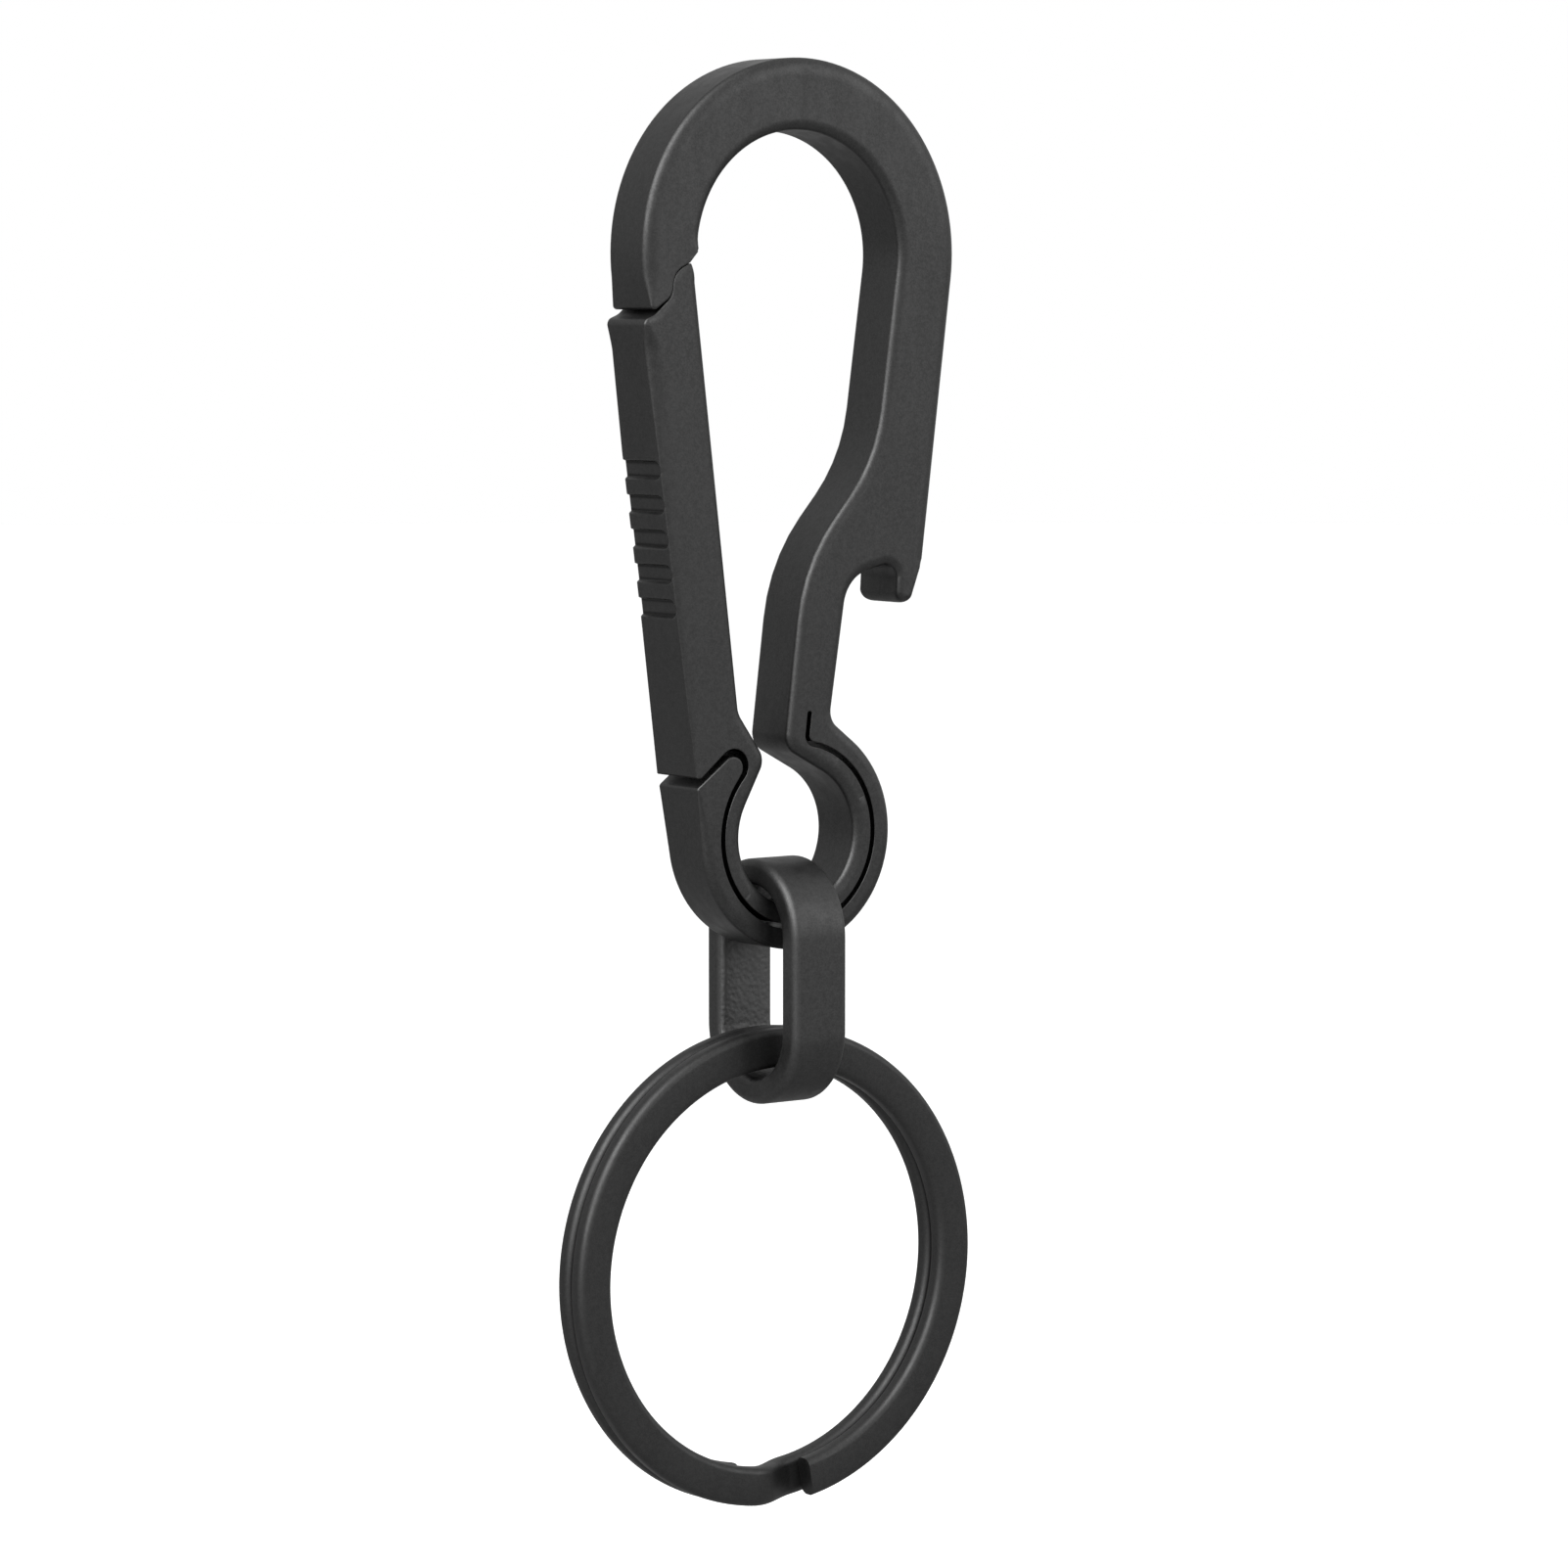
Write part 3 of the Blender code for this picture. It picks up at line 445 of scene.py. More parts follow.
    def gate(self):
        """From the shoulder down the outer side, round the stub and up the inner side to the tip."""
        sizes, rim, slit = self.sizes, self.rim, self.slit
        outline = [(*self.gate_shoulder, GATE_SHOULDER_RADIUS, self.wide)]
        top_z = self.heel[1] - sizes.grip_drop + sizes.grip_width
        bottom_z = top_z - sizes.grip_pitch * (sizes.grips - 1) - 2 * sizes.grip_width
        for part in np.linspace(0.1, 0.9, SHOULDER_COLUMNS):
            z = self.gate_shoulder[1] + (top_z - self.gate_shoulder[1]) * part
            outline.append((self.gate_outer_x(z), z, 0.0, self.wide.lerp(self.beside_grips, part)))
        for z in np.linspace(top_z, bottom_z, GRIP_COLUMNS):
            outline.append((self.gate_outer_x(z), z, 0.0, self.beside_grips))
        foot_z = STUB_SHOULDER_Z + GATE_FOOT_GAP
        foot_x = self.gate_outer_x(foot_z)
        foot = (foot_x + GATE_FOOT_STEP, foot_z)
        outline += [(foot_x, foot_z, GATE_FOOT_RADIUS, slit), (*foot, GATE_FOOT_RADIUS, slit)]

        cavity = beside(self.stub_tip, 0.0, 0.1)
        cavity_radius = math.hypot(*cavity) - self.leaf_outer
        slope = tangent_degrees(foot, cavity, cavity_radius, -1) % 360.0
        outline += arc(cavity, cavity_radius, slope, degrees_of(cavity) - 180.0, slit)[:-1]
        outline += arc(HOLE, self.leaf_outer, degrees_of(cavity), LEAF_END_DEG + 360.0, slit)
        outline[-1] = (*outline[-1][:3], SQUARE)
        outline += [(*on_circle(HOLE, sizes.ring_hole, angle), 0.0, rim)
                    for angle in (LEAF_END_DEG, HOLE_LEAVE_DEG)]
        bulge = beside(self.stub_tip, 2.73, 0.47)
        outline += [(*bulge, BULGE_RADIUS, rim), (*beside(bulge, -2.16, 3.1), BULGE_NECK_RADIUS, rim),
                    (*self.gate_tip, GATE_TIP_RADIUS, rim / 2)]
        lower, upper, point = self.joint_line(-1)
        ends = (point, upper, lower, beside(self.inner, -3.42, -4.1))
        outline += [(*end, radius, self.joint_rim) for end, radius in zip(ends, GATE_JOINT_RADII)]
        return outline


# ------------------------------------------------------------------------------------- plate meshes

def inset(rim, depth):
    """How far a rounded edge has drawn back at this depth below the face."""
    across, down = rim
    if depth >= down:
        return 0.0
    return across * (1 - math.sqrt(1 - (1 - depth / down) ** 2))


def tapered_rims(points):
    """Rim sizes that shrink smoothly towards corners too tight for the full rounding."""
    places = np.array([place for place, _ in points])
    across = np.array([rim.x for _, rim in points])
    before = places - np.roll(places, 1, axis=0)
    after = np.roll(places, -1, axis=0) - places
    reach = (np.hypot(*before.T) + np.hypot(*after.T)) / 2
    bend = np.arctan2(before[:, 0] * after[:, 1] - before[:, 1] * after[:, 0],
                      (before * after).sum(axis=1))
    limits = np.full(len(points), 1.0)
    tight = (bend > math.radians(0.5)) & (bend < math.radians(SHARP_TURN_DEG))
    limits[tight] = np.maximum(reach[tight] / bend[tight] * 0.9 - RIM_MARGIN, 0.02 * MM)
    gaps = np.hypot(*(places[:, None, :] - places[None, :, :]).transpose(2, 0, 1))
    allowed = np.minimum(across, (limits[None, :] + 0.5 * gaps).min(axis=1))
    return [rim * (part / rim.x) if rim.x else rim for part, (_, rim) in zip(allowed, points)]


def rim_columns(points):
    """For each corner of an outline, its places and depths from the straight wall to the face."""
    rims = tapered_rims(points)
    columns = []
    count = len(points)
    for i, (place, _) in enumerate(points):
        rim_in, rim_out = rims[i - 1], rims[i]
        into = (place - points[i - 1][0]).normalized()
        out = (points[(i + 1) % count][0] - place).normalized()
        normal_in, normal_out = Vector((-into.y, into.x)), Vector((-out.y, out.x))
        if into.angle(out) < math.radians(SHARP_TURN_DEG):
            rim_in = rim_out = rims[i]
        deepest = max(rim_in.y, rim_out.y)
        cross = normal_in.cross(normal_out)
        column = [(place, deepest + RIM_MARGIN)]
        for step in range(RIM_STEPS + 2):
            margin = RIM_MARGIN if step > RIM_STEPS else 0.0
            depth = deepest * (1 - math.sin(math.pi / 2 * min(step / RIM_STEPS, 1.0)))
            shift_in = inset(rim_in, depth) + (margin if rim_in.x else 0.0)
            shift_out = inset(rim_out, depth) + (margin if rim_out.x else 0.0)
            if abs(cross) < 1e-3:
                shift = normal_in * shift_in
            else:
                shift = Vector((
                    (shift_in * normal_out.y - shift_out * normal_in.y) / cross,
                    (shift_out * normal_in.x - shift_in * normal_out.x) / cross))
            column.append((place + shift, depth))
        columns.append((column, deepest, max(rim_in.x, rim_out.x)))
    return columns


def plate_mesh(name, outline, shape, wall_rings=1):
    """A plate of this outline with rounded rims.

    The rubbed-edge attribute is 1 on the sharpest edges, and attribute slot is 1 on the walls of the slots,
    where the material paints shade.
    """
    columns = rim_columns(rounded(outline))
    half = shape.sizes.thickness / 2
    last = RIM_STEPS + 2
    mesh = bmesh.new()
    wear_and_highlight = mesh.verts.layers.float.new("wear_and_highlight")
    slot = mesh.verts.layers.float.new("slot")
    order = [(step, -1, 0.0) for step in range(last, -1, -1)]
    order += [(0, 0, part / wall_rings) for part in range(1, wall_rings)]
    order += [(step, 1, 0.0) for step in range(last + 1)]
    rings = []
    for step, side, part in order:
        ring = []
        for column, deepest, rim in columns:
            place, depth = column[step]
            y = side * (half - depth) if side else (half - depth) * (2 * part - 1)
            vert = mesh.verts.new((place.x - shape.origin[0], y, place.y - shape.origin[1]))
            middle = math.sin(math.pi * min(max((step - 1) / RIM_STEPS, 0.0), 1.0))
            sharp = min(RUBBED_EDGE / max(deepest, 0.01 * MM), deepest / SHARPEST_EDGE, 1.0)
            vert[wear_and_highlight] = middle * sharp if side else 0.0
            # Painted shade: the walls of the slots are marked here so that the material paints them nearly
            # black, as shade deep in a slot.
            vert[slot] = float(step < 3 and rim < 1.01 * shape.sizes.edge_break)
            ring.append(vert)
        rings.append(ring)
    count = len(columns)
    for lower, upper in zip(rings, rings[1:]):
        for i in range(count):
            j = (i + 1) % count
            mesh.faces.new((lower[i], upper[i], upper[j], lower[j]))
    mesh.faces.new(rings[0])
    mesh.faces.new(list(reversed(rings[-1])))
    bmesh.ops.recalc_face_normals(mesh, faces=mesh.faces)
    data = bpy.data.meshes.new(name)
    mesh.to_mesh(data)
    mesh.free()
    return data


def finish_mesh(data):
    data.shade_smooth()
    data.set_sharp_from_angle(angle=math.radians(40))


def add_piece(name, data, material, body, slot, *nodes):
    """Make a finished piece that rides on a body and stands for its CAD nodes."""
    data.materials.clear()
    data.materials.append(material)
    piece = bpy.data.objects.new(name, data)
    bpy.context.scene.collection.objects.link(piece)
    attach(piece, body)
    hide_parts(*nodes)


# --------------------------------------------------------------------------------- node-tree helper

class Graph:
    """Short ways to add and join nodes in one tree."""

    def __init__(self, tree):
        self.tree = tree

    def add(self, kind, inputs=None, **settings):
        node = self.tree.nodes.new(kind)
        node.location = (200 * (len(self.tree.nodes) - 1), 0)
        for key, value in settings.items():
            setattr(node, key, value)
        for key, value in (inputs or {}).items():
            self.feed(node.inputs[key], value)
        return node

    def feed(self, socket, value):
        if isinstance(value, bpy.types.NodeSocket):
            self.tree.links.new(value, socket)
        else:
            socket.default_value = value

    def math(self, operation, *values):
        return self.add("ShaderNodeMath", dict(enumerate(values)), operation=operation).outputs[0]

    def plus(self, *values):
        return self.math("ADD", *values)

    def minus(self, *values):
        return self.math("SUBTRACT", *values)

    def times(self, *values):
        return self.math("MULTIPLY", *values)

    def vector(self, operation, *values):
        node = self.add("ShaderNodeVectorMath", dict(enumerate(values)), operation=operation)
        return node.outputs["Value" if operation in ("DOT_PRODUCT", "LENGTH") else "Vector"]

    def ramp(self, value, low, high, to_low=0.0, to_high=1.0):
        """A smooth step of value from low to high."""
        node = self.add("ShaderNodeMapRange", {0: value, 1: low, 2: high, 3: to_low, 4: to_high},
                        interpolation_type="SMOOTHSTEP")
        return node.outputs[0]

    def mark(self, geometry, label, value):
        """Store a value at each vertex as a named attribute."""
        return self.add("GeometryNodeStoreNamedAttribute", {
            "Geometry": geometry, "Name": label, "Value": value}, data_type="FLOAT",
            domain="POINT").outputs[0]

    def close(self, geometry, material, result):
        """End a geometry tree: real copies, in this material."""
        real = self.add("GeometryNodeRealizeInstances", {0: geometry})
        painted = self.add("GeometryNodeSetMaterial", {0: real.outputs[0], "Material": material})
        self.feed(result["Geometry"], painted.outputs[0])


def new_tree(name, kind, inputs, outputs):
    """A node tree with these named inputs and outputs, each with its socket type."""
    tree = bpy.data.node_groups.new(name, kind)
    for side, sockets in (("INPUT", inputs), ("OUTPUT", outputs)):
        for label, socket_type in sockets.items():
            tree.interface.new_socket(name=label, in_out=side, socket_type=socket_type)
    graph = Graph(tree)
    source, target = graph.add("NodeGroupInput"), graph.add("NodeGroupOutput")
    return graph, source.outputs, target.inputs


def modelled(name, data, tree, values):
    """Run a Geometry Nodes tree on a mesh and return its result as a plain mesh."""
    base = bpy.data.objects.new(name, data)
    bpy.context.scene.collection.objects.link(base)
    modifier = base.modifiers.new(tree.name, "NODES")
    modifier.node_group = tree
    for item in tree.interface.items_tree:
        if item.in_out == "INPUT" and item.name in values:
            modifier[item.identifier] = values[item.name]
    evaluated = base.evaluated_get(bpy.context.evaluated_depsgraph_get())
    result = bpy.data.meshes.new_from_object(evaluated)
    result.name = name
    base.modifiers.remove(modifier)
    bpy.data.objects.remove(base)
    if not result.polygons:
        raise RuntimeError(f"{tree.name} made no faces for {name}")
    return result


GEOMETRY = "NodeSocketGeometry"
FLOAT = "NodeSocketFloat"
POINT = "NodeSocketVector"
MATERIAL = "NodeSocketMaterial"
COUNT = "NodeSocketInt"
ROTATION = "NodeSocketRotation"


def thumb_grips_tree():
    """Presses a row of round-ended grips into a wall, open at the back, with a painted highlight along each
    grip's lip and painted shade just inside its edge.
    """
    graph, given, result = new_tree("Thumb grips", "GeometryNodeTree", {
        "Geometry": GEOMETRY, "Top": POINT, "Down": POINT, "Inward": POINT, "Count": COUNT,
        "Pitch": FLOAT, "Width": FLOAT, "Depth": FLOAT, "Front": FLOAT, "Softness": FLOAT,
        "Material": MATERIAL}, {"Geometry": GEOMETRY})
    place = graph.add("GeometryNodeInputPosition").outputs[0]
    from_top = graph.vector("SUBTRACT", place, given["Top"])
    down = graph.vector("DOT_PRODUCT", from_top, given["Down"])
    inward = graph.vector("DOT_PRODUCT", from_top, given["Inward"])
    nearest = graph.math("ROUND", graph.math("DIVIDE", down, given["Pitch"]))
    last = graph.minus(given["Count"], 1.0)
    nearest = graph.math("MAXIMUM", 0.0, graph.math("MINIMUM", nearest, last))
    across = graph.minus(down, graph.times(nearest, given["Pitch"]))
    depth_axis = graph.add("ShaderNodeSeparateXYZ", {0: place}).outputs["Y"]
    ahead = graph.math("MAXIMUM", graph.minus(given["Front"], depth_axis), 0.0)
    squares = graph.plus(graph.times(across, across), graph.times(ahead, ahead))
    half = graph.times(given["Width"], 0.5)
    outside = graph.minus(graph.math("SQRT", squares), half)
    soft = graph.times(given["Softness"], 0.5)
    mask = graph.ramp(outside, graph.times(soft, -1.0), soft, 1.0, 0.0)
    floor = graph.times(given["Depth"], mask)
    push = graph.math("MAXIMUM", graph.minus(floor, inward), 0.0)
    shift = graph.add("ShaderNodeVectorMath", {0: given["Inward"], "Scale": push}, operation="SCALE")
    on_wall = graph.math("LESS_THAN", inward, given["Depth"])
    geometry = given["Geometry"]
    # Painted light: a light band just outside each grip's edge joins the rubbed-edge attribute as a painted
    # highlight, and a dark band just inside joins attribute slot as painted shade.
    for label, aside, top in (("wear_and_highlight", -0.8, 0.5), ("slot", 0.9, 0.72)):
        from_line = graph.plus(outside, graph.times(given["Softness"], aside))
        band = graph.ramp(graph.math("ABSOLUTE", from_line), 0.0, given["Softness"], top, 0.0)
        old = graph.add("GeometryNodeInputNamedAttribute", {"Name": label}, data_type="FLOAT").outputs[0]
        value = graph.math("MAXIMUM", old, graph.times(band, on_wall))
        geometry = graph.mark(geometry, label, value)
    moved = graph.add("GeometryNodeSetPosition", {"Geometry": geometry, "Offset": shift.outputs["Vector"]})
    graph.close(moved.outputs[0], given["Material"], result)
    return graph.tree


def strip_profile(graph, across, thick, edge, cuts):
    """A flat bar's section with rounded edges, which marks its edges with attribute wear."""
    bar = graph.add("GeometryNodeCurvePrimitiveQuadrilateral", {"Width": across, "Height": thick})
    corners = graph.add("GeometryNodeFilletCurve", {"Curve": bar.outputs[0], "Count": 7, "Radius": edge,
                                                   "Limit Radius": True}, mode="POLY")
    finer = graph.add("GeometryNodeSubdivideCurve", {0: corners.outputs[0], "Cuts": cuts})
    place = graph.add("ShaderNodeSeparateXYZ", {0: graph.add("GeometryNodeInputPosition").outputs[0]})
    near = []
    for axis, size in (("X", across), ("Y", thick)):
        straight = graph.minus(graph.times(size, 0.5), edge)
        beyond = graph.minus(graph.math("ABSOLUTE", place.outputs[axis]), straight)
        near.append(graph.math("DIVIDE", beyond, edge))
    mark = graph.ramp(graph.math("MINIMUM", *near), 0.0, 0.3)
    return graph.mark(finer.outputs[0], "wear_and_highlight", mark)


def finished_sweep(graph, path, profile, caps, given, result):
    """Sweep a section along a path, mark its inside, stand it up and put it in place."""
    swept = graph.add("GeometryNodeCurveToMesh", {"Curve": path, "Profile Curve": profile,
                                                 "Fill Caps": caps})
    outward = graph.vector("NORMALIZE", graph.add("GeometryNodeInputPosition").outputs[0])
    normal = graph.add("GeometryNodeInputNormal").outputs[0]
    inside = graph.ramp(graph.vector("DOT_PRODUCT", normal, outward), -0.15, -0.3, 0.0, 1.0)
    marked = graph.mark(swept.outputs[0], "inside", inside)
    stood = graph.add("GeometryNodeTransform", {"Geometry": marked, "Translation": given["Place"],
                                                "Rotation": given["Turn"]})
    graph.close(stood.outputs[0], given["Material"], result)


def strip_loop_tree():
    """A closed oval loop of flat strip with rounded edges."""
    graph, given, result = new_tree("Strip loop", "GeometryNodeTree", {
        "Width": FLOAT, "Strip": FLOAT, "Edge": FLOAT, "Loop depth": FLOAT, "Loop height": FLOAT,
        "Place": POINT, "Turn": ROTATION, "Material": MATERIAL}, {"Geometry": GEOMETRY})
    deep = graph.minus(given["Loop depth"], given["Strip"])
    high = graph.minus(given["Loop height"], given["Strip"])
    path = graph.add("GeometryNodeCurvePrimitiveQuadrilateral", {"Width": deep, "Height": high})
    bend = graph.times(deep, 0.499)
    bent = graph.add("GeometryNodeFilletCurve", {"Curve": path.outputs[0], "Count": 30, "Radius": bend,
                                                "Limit Radius": True}, mode="POLY")
    profile = strip_profile(graph, given["Strip"], given["Width"], given["Edge"], 2)
    finished_sweep(graph, bent.outputs[0], profile, False, given, result)
    return graph.tree


def coiled_wire_tree():
    """Flat wire wound into two coils side by side, with a step from the front one to the back one."""
    graph, given, result = new_tree("Coiled wire", "GeometryNodeTree", {
        "Radius": FLOAT, "Band": FLOAT, "Coil": FLOAT, "Coil gap": FLOAT, "Edge": FLOAT,
        "Start": FLOAT, "Step": FLOAT, "End gap": FLOAT, "Count": COUNT, "End chamfer": FLOAT,
        "Place": POINT, "Turn": ROTATION, "Material": MATERIAL}, {"Geometry": GEOMETRY})
    line = graph.add("GeometryNodeCurvePrimitiveLine")
    dense = graph.add("GeometryNodeResampleCurve", {"Curve": line.outputs[0], "Count": given["Count"]},
                      mode="COUNT")
    factor = graph.add("GeometryNodeSplineParameter").outputs["Factor"]
    gaps = graph.times(given["End gap"], 2.0)
    total = graph.minus(4 * math.pi, graph.plus(given["Step"], gaps))
    along = graph.times(factor, total)
    step_end = graph.minus(2 * math.pi, given["End gap"])
    step_start = graph.minus(step_end, given["Step"])
    side = graph.times(graph.plus(given["Coil"], given["Coil gap"]), 0.5)
    back_side = graph.times(side, -1.0)
    depth = graph.add("ShaderNodeMapRange", {0: along, 1: step_start, 2: step_end, 3: side, 4: back_side},
                      interpolation_type="SMOOTHSTEP").outputs[0]
    angle = graph.plus(given["Start"], along)
    middle = graph.minus(given["Radius"], graph.times(given["Band"], 0.5))
    place = graph.add("ShaderNodeCombineXYZ", {
        "X": graph.times(middle, graph.math("COSINE", angle)),
        "Y": graph.times(middle, graph.math("SINE", angle)), "Z": depth})
    wound = graph.add("GeometryNodeSetPosition", {"Geometry": dense.outputs[0],
                                                  "Position": place.outputs[0]})
    level = graph.add("GeometryNodeSetCurveNormal", {"Curve": wound.outputs[0]}, mode="Z_UP")
    from_end = graph.times(graph.math("MINIMUM", along, graph.minus(total, along)),
                          middle)
    size = graph.add("ShaderNodeMapRange", {0: from_end, 1: 0.0, 2: given["End chamfer"], 3: 0.76, 4: 1.0})
    sized = graph.add("GeometryNodeSetCurveRadius", {"Curve": level.outputs[0],
                                                     "Radius": size.outputs[0]})
    profile = strip_profile(graph, given["Band"], given["Coil"], given["Edge"], 1)
    finished_sweep(graph, sized.outputs[0], profile, True, given, result)
    return graph.tree


# ---------------------------------------------------------------------------------------- materials

def shader_group(name, builder):
    """A shader node group, built once."""
    return bpy.data.node_groups.get(name) or builder(name)


def blasted_grain(name):
    """Fine bead-blasted grain: a height for bump and a tone for colour."""
    graph, given, result = new_tree(name, "ShaderNodeTree", {"Vector": POINT, "Grain": FLOAT},
                                    {"Height": FLOAT, "Tone": FLOAT})
    scale = graph.math("DIVIDE", 1.0, given["Grain"])
    fine = graph.add("ShaderNodeTexNoise", {"Vector": given["Vector"], "Scale": scale, "Detail": 3.0,
                                            "Roughness": 0.65})
    coarse = graph.add("ShaderNodeTexNoise", {
        "Vector": given["Vector"], "Scale": graph.times(scale, 0.33), "Detail": 2.0})
    height = graph.plus(graph.times(fine.outputs[0], 0.7),
                        graph.times(coarse.outputs[0], 0.3))
    graph.feed(result["Height"], height)
    graph.feed(result["Tone"], graph.ramp(height, 0.3, 0.7))
    return graph.tree


def edge_wear_and_highlight(name):
    """Where the coating has rubbed, and along the grips' lips a painted highlight: the piece's own
    rubbed-edge attribute, broken up by a fine mottle.
    """
    graph, given, result = new_tree(name, "ShaderNodeTree", {
        "Vector": POINT, "Wear": FLOAT, "Amount": FLOAT}, {"Mask": FLOAT})
    mottle = graph.add("ShaderNodeTexNoise", {"Vector": given["Vector"], "Scale": 1500.0, "Detail": 4.0,
                                              "Roughness": 0.6}).outputs[0]
    broken = graph.ramp(graph.plus(given["Wear"], graph.times(mottle, 0.7)), 0.45, 1.35)
    graph.feed(result["Mask"], graph.times(broken, given["Amount"]))
    return graph.tree


def handling_marks(name):
    """Broad soft clouds of handling and dust: a small change of tone and of gloss."""
    graph, given, result = new_tree(name, "ShaderNodeTree", {"Vector": POINT},
                                    {"Tone": FLOAT, "Gloss": FLOAT})
    cloud = graph.add("ShaderNodeTexNoise", {"Vector": given["Vector"], "Scale": 170.0, "Detail": 3.0,
                                             "Distortion": 0.4}).outputs[0]
    streak_space = graph.add("ShaderNodeMapping", {0: given["Vector"], "Scale": (1.0, 1.0, 0.15)})
    streak = graph.add("ShaderNodeTexNoise", {"Vector": streak_space.outputs[0], "Scale": 900.0,
                                              "Detail": 4.0}).outputs[0]
    graph.feed(result["Tone"], graph.ramp(cloud, 0.3, 0.7))
    graph.feed(result["Gloss"], graph.ramp(streak, 0.35, 0.65))
    return graph.tree


def tint(colour, part=1.0):
    """A colour made darker or lighter, with full alpha."""
    return (*(min(value * part, 1.0) for value in colour), 1.0)


def mixed(graph, factor, first, second):
    node = graph.add("ShaderNodeMix", {0: factor}, data_type="RGBA")
    graph.feed(node.inputs["A"], first)
    graph.feed(node.inputs["B"], second)
    return node.outputs["Result"]


def coated_metal(name, colour, worn_and_highlight, roughness, grain, wear_and_highlight, bump, pebble=0.0):
    """Matte black coated metal with blasted grain, rubbed edges and handling marks, plus painted shade on
    slot walls and in grip pockets, a painted highlight on grip lips and painted light on a pebbled inside.
    """
    material = bpy.data.materials.new(name)
    material.use_nodes = True
    material.diffuse_color = tint(colour)
    graph = Graph(material.node_tree)
    shader = material.node_tree.nodes["Principled BSDF"]
    place = graph.add("ShaderNodeTexCoord").outputs["Object"]
    attribute = graph.add("ShaderNodeAttribute", attribute_name="wear_and_highlight")
    grains = graph.add("ShaderNodeGroup", node_tree=shader_group("Blasted grain", blasted_grain))
    edges = graph.add("ShaderNodeGroup", node_tree=shader_group("Edge wear", edge_wear_and_highlight))
    marks = graph.add("ShaderNodeGroup", node_tree=shader_group("Handling marks", handling_marks))
    for group in (grains, edges, marks):
        graph.feed(group.inputs["Vector"], place)
    grains.inputs["Grain"].default_value = grain
    graph.feed(edges.inputs["Wear"], attribute.outputs["Fac"])
    edges.inputs["Amount"].default_value = wear_and_highlight

    light = tint(colour, 1.2)
    base = mixed(graph, grains.outputs["Tone"], tint(colour, 0.8), light)
    cloudy = mixed(graph, graph.times(marks.outputs["Tone"], 0.18), base, light)
    # The rubbed colour shows real rubbing on the edges and, on the gate, a painted highlight along the
    # grips' lips.
    rubbed = mixed(graph, edges.outputs["Mask"], cloudy, tint(worn_and_highlight))
    # Painted shade: where attribute slot is set, on slot walls and inside the grips, the colour goes almost
    # to black.
    deep = graph.add("ShaderNodeAttribute", attribute_name="slot").outputs["Fac"]
    final = mixed(graph, deep, rubbed, tint(colour, 0.12))
    graph.feed(shader.inputs["Base Color"], final)
    shader.inputs["Metallic"].default_value = 1.0
    rough = graph.plus(roughness - 0.04, graph.times(marks.outputs["Gloss"], 0.08))
    rough = graph.minus(rough, graph.times(edges.outputs["Mask"], 0.08))
    graph.feed(shader.inputs["Roughness"], rough)

    height = grains.outputs["Height"]
    if pebble:
        inside = graph.add("ShaderNodeAttribute", attribute_name="inside").outputs["Fac"]
        cells = graph.add("ShaderNodeTexVoronoi", {"Vector": place, "Scale": 1.0 / pebble},
                          feature="SMOOTH_F1").outputs["Distance"]
        cells = graph.times(cells, graph.times(inside, 3.2))
        height = graph.plus(height, cells)
        # Painted light: the inside faces are made much lighter, so that the loop's shaded inner face reads
        # bright; the pebbled relief is the strip's real texture.
        final = mixed(graph, graph.times(inside, 0.9), final, tint(colour, 1.7))
        graph.feed(shader.inputs["Base Color"], final)
    relief = graph.add("ShaderNodeBump", {"Strength": 1.0, "Distance": bump, "Height": height})
    graph.feed(shader.inputs["Normal"], relief.outputs[0])
    return material


def plate_finish(plate):
    name = "coated_plate_finish"
    return bpy.data.materials.get(name) or coated_metal(
        name, plate.colour, plate.worn_and_highlight, plate.roughness, plate.grain, wear_and_highlight=0.12, bump=0.006 * MM)


def floor_finish(colour, reflected):
    """Pale matte floor paint with a faint roller texture, dimmer in reflections."""
    material = bpy.data.materials.new("floor_paint")
    material.use_nodes = True
    graph = Graph(material.node_tree)
    shader = material.node_tree.nodes["Principled BSDF"]
    place = graph.add("ShaderNodeTexCoord").outputs["Object"]
    roller = graph.add("ShaderNodeTexNoise", {"Vector": place, "Scale": 400.0, "Detail": 3.0}).outputs[0]
    paint = mixed(graph, roller, tint(colour), tint(colour, 1.03))
    seen = graph.add("ShaderNodeLightPath").outputs["Is Camera Ray"]
    graph.feed(shader.inputs["Base Color"], mixed(graph, seen, tint(colour, reflected), paint))
    shader.inputs["Roughness"].default_value = 0.9
    relief = graph.add("ShaderNodeBump", {"Strength": 0.3, "Distance": 0.05 * MM, "Height": roller})
    graph.feed(shader.inputs["Normal"], relief.outputs[0])
    return material


# ---------------------------------------------------------------------------------------- operators

class KEYRING_OT_body(bpy.types.Operator):
    """Make the carabiner's body: arch, nose, spine, opener, neck and lower ring"""
    bl_idname = "keyring.body"
    bl_label = "Carabiner body"

    def execute(self, context):
        plate = context.scene.keyring.plate
        shape = PlateShape(plate)
        data = plate_mesh("carabiner_body", shape.frame(), shape)
        finish_mesh(data)
        add_piece("carabiner_body", data, plate_finish(plate), "frame", "coated_plate", "carabiner_frame")
        return {"FINISHED"}


class KEYRING_OT_leaf(bpy.types.Operator):
    """Make the arcs of the leaf spring inside the lower ring"""
    bl_idname = "keyring.leaf"
    bl_label = "Leaf spring"

    def execute(self, context):
        plate = context.scene.keyring.plate
        shape = PlateShape(plate)
        for index in range(LEAF_PIECES):
            name = f"leaf_arc_{index + 1}"
            data = plate_mesh(name, shape.leaf(index), shape)
            finish_mesh(data)
            add_piece(name, data, plate_finish(plate), f"leaf_{index + 1}", "coated_plate",
                      f"leaf_spring_{index + 1}")
        return {"FINISHED"}


